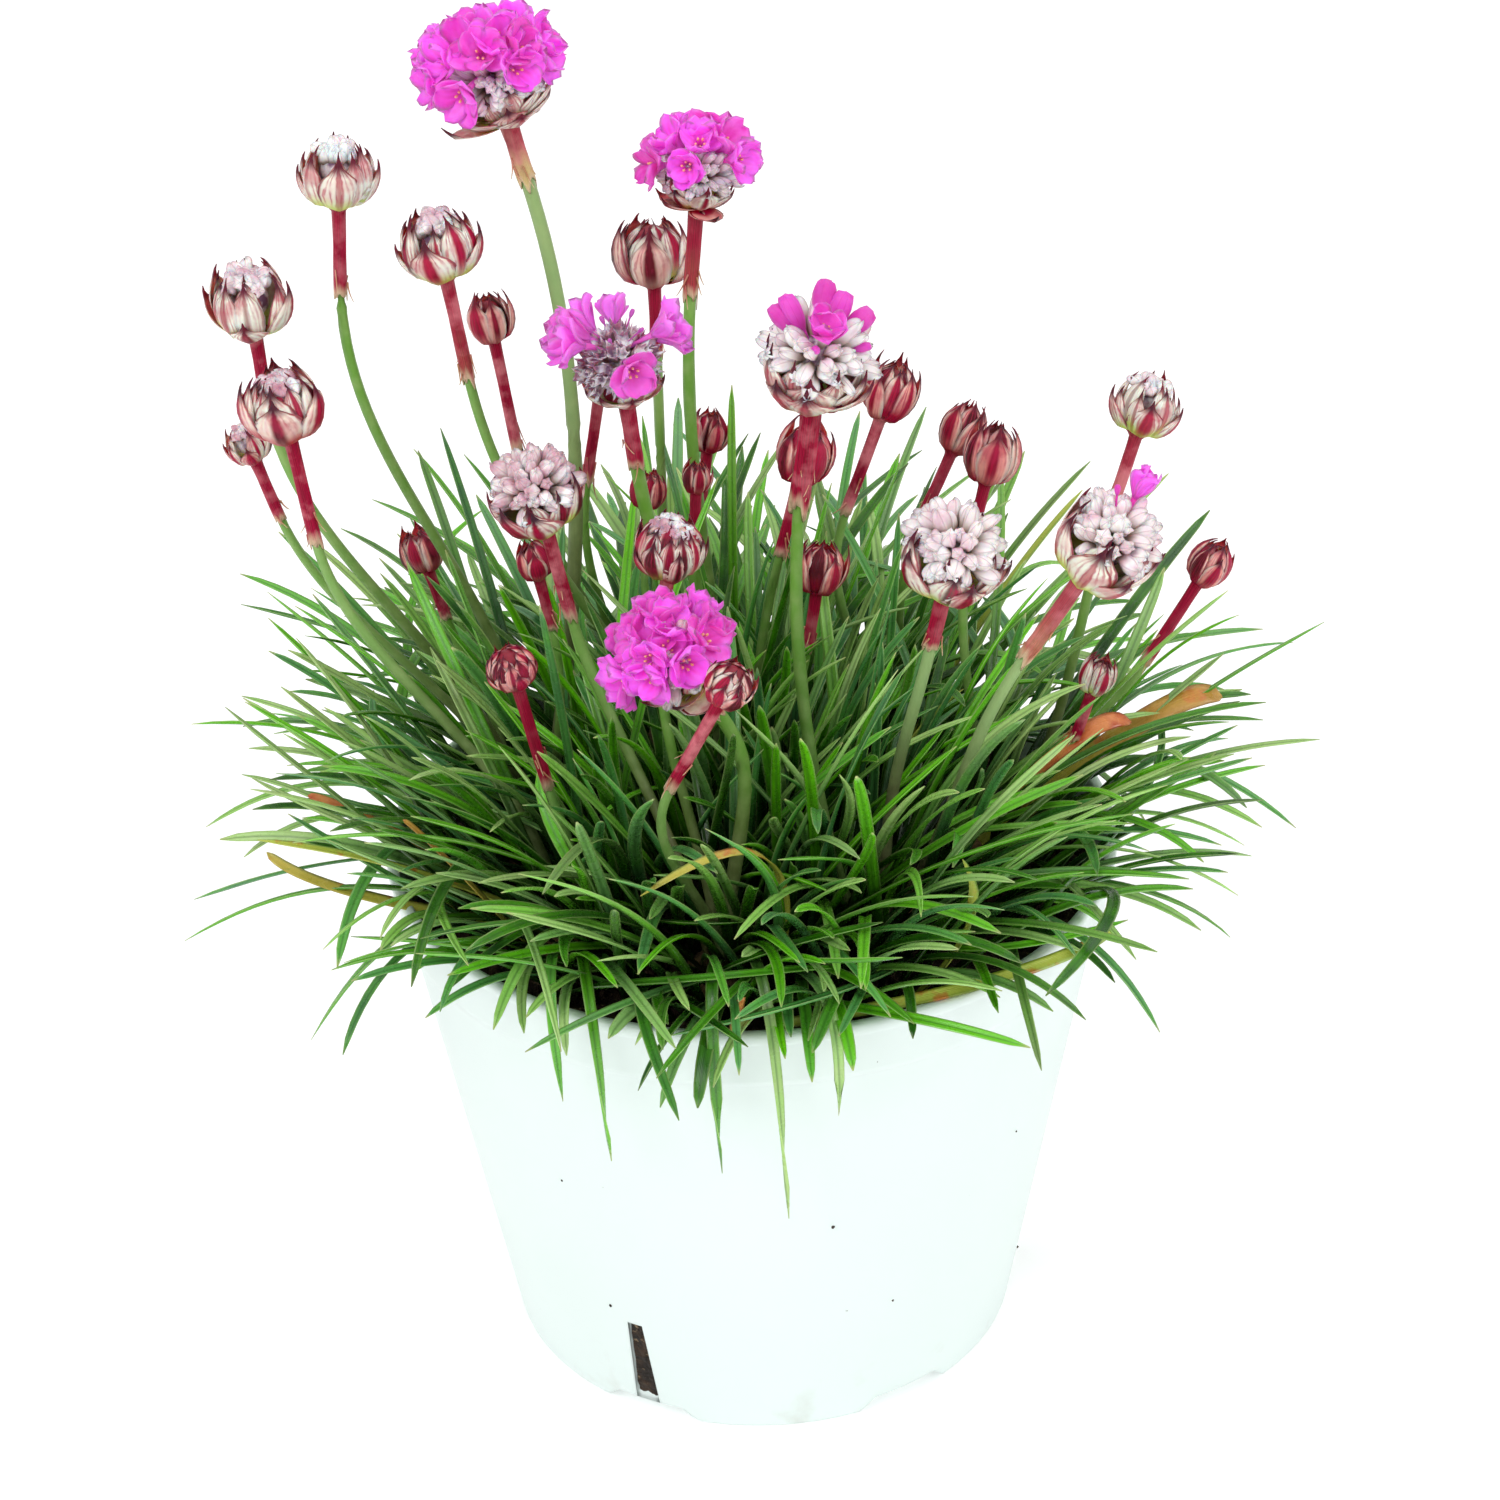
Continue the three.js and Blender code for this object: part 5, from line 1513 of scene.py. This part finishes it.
def cut_slots(part, profile, columns):
    """The pot's surface without the quads inside its slots, and with strips of quads that join
    the outer wall to the inner one round each slot."""
    points, quads, tris, values = part
    rows, cols = len(profile), len(columns)
    z = profile[:, 1]
    rim = int(np.argmax(z))
    outer = [i for i in range(rim) if SLOT_FOOT <= z[i] < SLOT_TOP]
    inner = [i for i in range(rows - 1, rim, -1) if NOTCH_HEIGHT + POT_FLOOR < z[i] < SLOT_TOP]
    inside = [j for j, (_, s) in enumerate(columns) if abs(s) <= 1]
    keep = np.ones((rows - 1, cols), bool)
    strips = []
    for k in range(0, len(inside), len(SLOT_COLUMNS)):
        slot = inside[k : k + len(SLOT_COLUMNS)]
        keep[outer[0] : outer[-1], slot[:-1]] = False
        keep[inner[-1] : inner[0], slot[:-1]] = False
        for j, flip in ((slot[0], False), (slot[-1], True)):
            strips += bridge([i * cols + j for i in outer], [i * cols + j for i in inner], flip)
        for a, b, flip in ((outer[0], inner[0], True), (outer[-1], inner[-1], False)):
            strips += bridge([a * cols + j for j in slot], [b * cols + j for j in slot], flip)
    return points, quads[keep.reshape(-1)], np.concatenate([tris, strips]), values


def bridge(a, b, flip):
    """Faces between two rows of points that need not be equally long."""
    faces, i, j = [], 0, 0
    while i < len(a) - 1 or j < len(b) - 1:
        if i < len(a) - 1 and (j == len(b) - 1 or (i + 1) / (len(a) - 1) <= (j + 1) / (len(b) - 1)):
            face = [a[i], a[i + 1], b[j]]
            i += 1
        else:
            face = [a[i], b[j + 1], b[j]]
            j += 1
        faces.append(face[::-1] if flip else face)
    return faces


def soil_height(x, y):
    """The soil's top: slow waves of half a millimetre."""
    ripple = np.sin(x * 0.31 + 1) * np.cos(y * 0.27)
    return SOIL_TOP + 0.5 * (ripple + 0.5 * np.sin(x * 0.11 - y * 0.17))


def soil_part(rng):
    """The soil's body: a turned block with a rough side and a crumbled top."""
    a = azimuths(120)
    edge = pot_radius(78) - 2.1
    rows = [(2, 2.2), (20, 2.2), (31, 2.2), (31, 5.2), (pot_radius(5.2) - 2, 5.2)]
    rows += [(pot_radius(z) - 1.9, z) for z in (7, 10, 14, 18, 22, 26, 40, 60, 74, 78, 80)]
    rows += [(edge, 81.0)]
    rows += [(edge - d, None) for d in (1.5, 4, 8, 12, 16, 20, 25, 30, 35, 40, 45, 50)]
    points = []
    for r, z in rows:
        if z is None:
            z = soil_height(r * np.cos(a), r * np.sin(a)) + rng.normal(0, 0.35, len(a)) - 0.2
        elif 5.2 < z < 80:
            r = r - np.abs(rng.normal(0, 0.16, len(a)))
        points.append(round_axis(r, a, z))
    return tube_part(np.array(points)[None], 0.5, 0.0, 0.3, 0.0)


def plugs_part(rng):
    """Soil that fills each slot of the pot: a tapered block just behind the outer wall, with an
    uneven face."""
    z = np.linspace(NOTCH_HEIGHT + 0.25, SLOT_TOP - 0.25, 12)[:, None]
    u = np.array([-1, -0.6, -0.2, 0.2, 0.6, 1, 1, -1])
    back = np.array([0, 0, 0, 0, 0, 0, 1, 1])
    rings = []
    for centre in SLOT_PLACES:
        r = pot_radius(z) - 0.45 - rng.random((12, 8)) * 0.5 * (1 - back) - 2.0 * back
        rings.append(round_axis(r, centre + (slot_half(z) - 0.15) * u / r, z))
    return tube_part(np.array(rings), 0.5, 0.0, 0.1, 0.0)


def specks_part(rng):
    """Crumbs that stick to the pot's outer wall."""
    rings = []
    for azimuth, z, size in SPECKS:
        centre = round_axis(pot_radius(z), math.radians(azimuth), z)
        rings.append(small_ball() * rng.uniform(0.75, 1.25, (5, 7, 1)) * size + centre)
    return tube_part(np.array(rings), 0.5, 0.0, 0.1, 0.0)


def crumbs_part(count, rng):
    """Crumbs of soil: small uneven balls, scattered over the top and gathered along the wall."""
    rings = small_ball() * rng.uniform(0.75, 1.25, (count, 5, 7, 1))
    size = rng.uniform(0.4, 1.3, (count, 1, 1, 1)) * rng.uniform(0.7, 1.3, (count, 1, 1, 3))
    r = CRUMBS_REACH * np.sqrt(rng.random(count))
    t = rng.random(count) * 2 * np.pi
    r[: count // 3] = rng.uniform(*CRUMBS_AT_WALL, count // 3)
    centre = round_axis(r, t, 0.0)
    centre[:, 2] = soil_height(centre[:, 0], centre[:, 1]) + 0.3
    return tube_part(rings * size + centre[:, None, None], 0.5, 0.0, rng.random((count, 1, 1)), 0.0)


# Settings, operators and the panel


def colour_of(name, description, *screen):
    """A colour setting with its default in screen values."""
    return FloatVectorProperty(
        name=name, description=description, subtype="COLOR", default=linear(*screen), min=0, max=1)


class ThriftPotSettings(bpy.types.PropertyGroup):
    crumbs: IntProperty(name="Crumbs", description="Crumbs of soil on the top", default=900, min=0)
    pot: colour_of("Pot", "Colour of the pot", 229, 241, 238)
    soil: colour_of("Soil", "Colour of the soil", 30, 24, 20)


class ThriftLeafSettings(bpy.types.PropertyGroup):
    filler: IntProperty(
        name="More leaves", description="Leaves beside those of the solids", default=950, min=0)
    fringe: IntProperty(
        name="Fringe", description="Short leaves that hang over the front rim", default=80, min=0)
    width: FloatProperty(
        name="Leaf width", description="Width of a leaf at its widest", default=LEAF_WIDTH * MM,
        min=0.001, unit="LENGTH")
    seed: IntProperty(name="Seed", description="Seed of the leaves' places", default=7)
    leaf_deep: colour_of("Deep green", "Darker leaf green", 16, 76, 2)
    leaf_fresh: colour_of("Fresh green", "Lighter leaf green", 108, 204, 14)
    leaf_blue: colour_of("Blue green", "Cooler leaf green", 86, 150, 96)
    stalk: colour_of("Stalk", "Green of the upper stalks", 108, 164, 54)


class ThriftFlowerSettings(bpy.types.PropertyGroup):
    petal: colour_of("Petal", "Magenta of the petals", 255, 92, 242)
    petal_deep: colour_of("Throat", "Deeper magenta of throats and veins", 212, 10, 150)
    bract_red: colour_of("Crimson", "Red of bracts and sheaths", 178, 8, 60)
    bract_cream: colour_of("Cream", "Pale flanks of the bracts", 255, 247, 230)
    bract_green: colour_of("Lime", "Yellow green feet of the bracts", 214, 222, 108)
    calyx: colour_of("Calyx", "White of the calyces", 253, 249, 247)


class ThriftSettings(bpy.types.PropertyGroup):
    pot: PointerProperty(type=ThriftPotSettings)
    leaves: PointerProperty(type=ThriftLeafSettings)
    flowers: PointerProperty(type=ThriftFlowerSettings)


def settings():
    """The scene's settings of this plant."""
    return bpy.context.scene.thrift


class ThriftPot(bpy.types.Operator):
    """Makes the pot's fine shell over its solid"""

    bl_idname = "thrift.pot"
    bl_label = "Pot"

    def execute(self, context):
        make_piece("pot_shell", [pot_part()], pot_finish(settings().pot), ["pot"])
        return {"FINISHED"}


class ThriftSoil(bpy.types.Operator):
    """Makes the soil with its crumbs"""

    bl_idname = "thrift.soil"
    bl_label = "Soil"

    def execute(self, context):
        rng = np.random.default_rng(SOIL_SEED)
        given = settings().pot
        parts = [soil_part(rng), crumbs_part(given.crumbs, rng), plugs_part(rng), specks_part(rng)]
        make_piece("soil_crumbs", parts, soil_finish(given), ["soil"], smooth=False)
        return {"FINISHED"}


class ThriftLeaves(bpy.types.Operator):
    """Makes each tuft's leaves, its crown and its stalks"""

    bl_idname = "thrift.leaves"
    bl_label = "Leaves and stalks"

    def execute(self, context):
        given = settings().leaves
        lines, way = solid_leaves()
        for leaf in OLD_LEAVES:
            way.add_leaf(old_line(*leaf[3:]), leaf[0])
        lines = filler_leaves(lines, way, given.filler, given.seed)
        fringe = fringe_leaves(way, given.fringe, given.seed)
        green, stem, brown = leaf_finish(given), stalk_finish(given), crown_finish()
        rng, own = np.random.default_rng(given.seed + 1), np.random.default_rng(given.seed + 2)
        for crown, place in CROWNS.items():
            parts = [leaf_part(lines[crown], rng, given.width / MM, LEAF_THICKNESS)]
            old = [leaf for leaf in OLD_LEAVES if leaf[0] == crown]
            if old:
                wide = np.array([leaf[1] for leaf in old]) * given.width / MM
                ages = np.array([leaf[2] for leaf in old])
                parts.append(leaf_part([old_line(*leaf[3:]) for leaf in old], rng, wide, 0.6, ages))
            if fringe[crown]:
                parts.append(leaf_part(fringe[crown], own, 1.15 * given.width / MM, LEAF_THICKNESS))
            make_piece("leaves_" + crown, parts, green, ["tuft_" + crown])
            stalks = [stalk_part(label, rng) for label in FLOWERS if FLOWERS[label][0] == crown]
            make_piece("stalks_" + crown, stalks, stem, ["tuft_" + crown])
            make_piece("crown_" + crown, [crown_part(place)], brown, ["tuft_" + crown])
        return {"FINISHED"}


class ThriftHeads(bpy.types.Operator):
    """Makes the sheaths and bracts of all the flower heads"""

    bl_idname = "thrift.heads"
    bl_label = "Bracts and sheaths"

    def execute(self, context):
        bracts, sheath = bract_finish(settings().flowers), sheath_finish(settings().flowers)
        for label in FLOWERS:
            rng = np.random.default_rng(int(label))
            f = flower(label)
            matrix = turned_to(f.along)
            length = np.linalg.norm(f.neck - f.joint)
            bulk, pale = SHEATH_BULK.get(label, 1.0), PALE_SHEATHS.get(label, 0.0)
            ragged = RAGGED.get(label, 0.9 if f.stage == "bud" else 1.6)
            tube = sheath_part(length, f.radius, f.cup, rng, ragged, bulk, pale)
            fibres = fibres_part(length, f.radius, FIBRES.get(label, USUAL_FIBRES), rng)
            parts = [moved(part, matrix, f.neck) for part in (tube, fibres)]
            make_piece("sheath_" + label, parts, sheath, ["head_" + label])
            shape = SHAPES.get(label, f.stage)
            pale = PALENESS.get(label, USUAL_PALENESS)
            parts = [
                bracts_part(whorl, f.cup, math.pi * row / whorl[0] + 0.3 * row, pale, rng)
                for row, whorl in enumerate(WHORLS[shape])
            ]
            if label not in WITH_CALYCES + MORE_CALYCES:
                parts.append(core_part(f.cup * 0.5, f.cup * 0.36, f.cup * 0.38, pale + 0.3))
            stretch = np.diag([1.0, 1.0, TALLNESS.get(shape, 1.0)])
            parts = [moved(part, matrix @ stretch, f.neck) for part in parts]
            make_piece("bracts_" + label, parts, bracts, ["head_" + label])
        return {"FINISHED"}


class ThriftCalyces(bpy.types.Operator):
    """Makes the papery calyces in the cups"""

    bl_idname = "thrift.calyces"
    bl_label = "Calyces"

    def execute(self, context):
        paper = calyx_finish(settings().flowers)
        for label in WITH_CALYCES + MORE_CALYCES:
            rng = np.random.default_rng(CALYX_SEED + int(label))
            f = flower(label)
            count, first, last, share, size, closed = CALYX_PLANS[f.stage]
            part = calyces_part(
                count, f.cup * 0.52, f.cup * 0.16, f.cup * share, math.radians(first),
                math.radians(last), f.cup * size, closed, FLUSH.get(label, 0.0), rng)
            parts = [part, core_part(f.cup * 0.52, f.cup * 0.24, f.cup * 0.26, 1.0)]
            parts = [moved(p, turned_to(f.along), f.neck) for p in parts]
            replaced = ["calyces_" + label] if label in WITH_CALYCES else []
            make_piece("calyx_" + label, parts, paper, replaced)
        return {"FINISHED"}


class ThriftCorollas(bpy.types.Operator):
    """Makes the magenta florets of the blooms"""

    bl_idname = "thrift.corollas"
    bl_label = "Florets"

    def execute(self, context):
        petal, gold = petal_finish(settings().flowers), anther_finish()
        for label in WITH_COROLLAS:
            rng = np.random.default_rng(FLORET_SEED + int(label))
            f = flower(label)
            matrix = turned_to(f.along)
            parts, stems = florets_parts(label, rng)
            parts = [moved(part, matrix, f.neck) for part in parts]
            make_piece("florets_" + label, parts, petal, ["corollas_" + label])
            if stems:
                anthers = moved(anther_part(stems), matrix, f.neck)
                make_piece("anthers_" + label, [anthers], gold, ["corollas_" + label])
        return {"FINISHED"}


class ThriftStage(bpy.types.Operator):
    """Sets the pale floor, the soft lights and the camera"""

    bl_idname = "thrift.stage"
    bl_label = "Stage"

    def execute(self, context):
        scene = context.scene
        scene.view_settings.view_transform = "Standard"
        floor_mesh = bpy.data.meshes.new("floor")
        h = FLOOR_HALF
        floor_mesh.from_pydata([(-h, -h, 0), (h, -h, 0), (h, h, 0), (-h, h, 0)], [], [(0, 1, 2, 3)])
        floor = bpy.data.objects.new("floor", floor_mesh)
        scene.collection.objects.link(floor)
        pale = bpy.data.materials.new("Floor")
        pale.use_nodes = True
        shader = pale.node_tree.nodes["Principled BSDF"]
        shader.inputs["Base Color"].default_value = (0.93, 0.93, 0.93, 1)
        shader.inputs["Roughness"].default_value = 0.9
        shader.inputs["Emission Color"].default_value = (1, 1, 1, 1)
        shader.inputs["Emission Strength"].default_value = FLOOR_GLOW
        floor_mesh.materials.append(pale)
        world = bpy.data.worlds.new("Studio")
        world.use_nodes = True
        sky = world.node_tree.nodes["Background"]
        sky.inputs["Color"].default_value = (1, 1, 1, 1)
        sky.inputs["Strength"].default_value = SKY_LIGHT
        scene.world = world
        for name, place, size, power in LIGHTS:
            light = bpy.data.lights.new(name, "AREA")
            light.size = size
            light.energy = power
            put_up(scene, name, light, place, LIGHTS_AIM)
        camera = bpy.data.cameras.new("camera")
        camera.lens = CAMERA_LENS
        camera.sensor_width = CAMERA_SENSOR
        camera.shift_x = CAMERA_SHIFT
        scene.camera = put_up(scene, "camera", camera, CAMERA_PLACE, CAMERA_AIM, CAMERA_ROLL)
        return {"FINISHED"}


def put_up(scene, name, data, place, aim, roll=0.0):
    """A camera or lamp at a place, facing the height aim on the upright axis and rolled about its
    own axis."""
    held = bpy.data.objects.new(name, data)
    scene.collection.objects.link(held)
    held.location = place
    held.rotation_mode = "QUATERNION"
    turn = Vector(vec(*place) - vec(0, 0, aim)).to_track_quat("Z", "Y")
    held.rotation_quaternion = turn @ Quaternion((0, 0, 1), roll)
    return held


class ThriftPanel(bpy.types.Panel):
    bl_idname = "VIEW3D_PT_thrift"
    bl_label = "Thrift"
    bl_space_type = "VIEW_3D"
    bl_region_type = "UI"
    bl_category = "Thrift"

    def draw(self, context):
        for operator in OPERATORS:
            self.layout.operator(operator.bl_idname)
        for group in (settings().pot, settings().leaves, settings().flowers):
            for name in group.__annotations__:
                self.layout.prop(group, name)


OPERATORS = (
    ThriftPot, ThriftSoil, ThriftLeaves, ThriftHeads, ThriftCalyces, ThriftCorollas, ThriftStage,
)
GROUPS = (ThriftPotSettings, ThriftLeafSettings, ThriftFlowerSettings, ThriftSettings)


def register():
    for cls in (*GROUPS, *OPERATORS, ThriftPanel):
        bpy.utils.register_class(cls)
    bpy.types.Scene.thrift = PointerProperty(type=ThriftSettings)


def unregister():
    del bpy.types.Scene.thrift
    for cls in reversed((*GROUPS, *OPERATORS, ThriftPanel)):
        bpy.utils.unregister_class(cls)


def main():
    """Makes the stage and all the pieces."""
    register()
    Finish.groups = {"mottle": mottle_group(), "veins": veins_group()}
    bpy.ops.thrift.stage()
    bpy.ops.thrift.pot()
    bpy.ops.thrift.soil()
    bpy.ops.thrift.leaves()
    bpy.ops.thrift.heads()
    bpy.ops.thrift.calyces()
    bpy.ops.thrift.corollas()


if __name__ == "__main__":
    main()
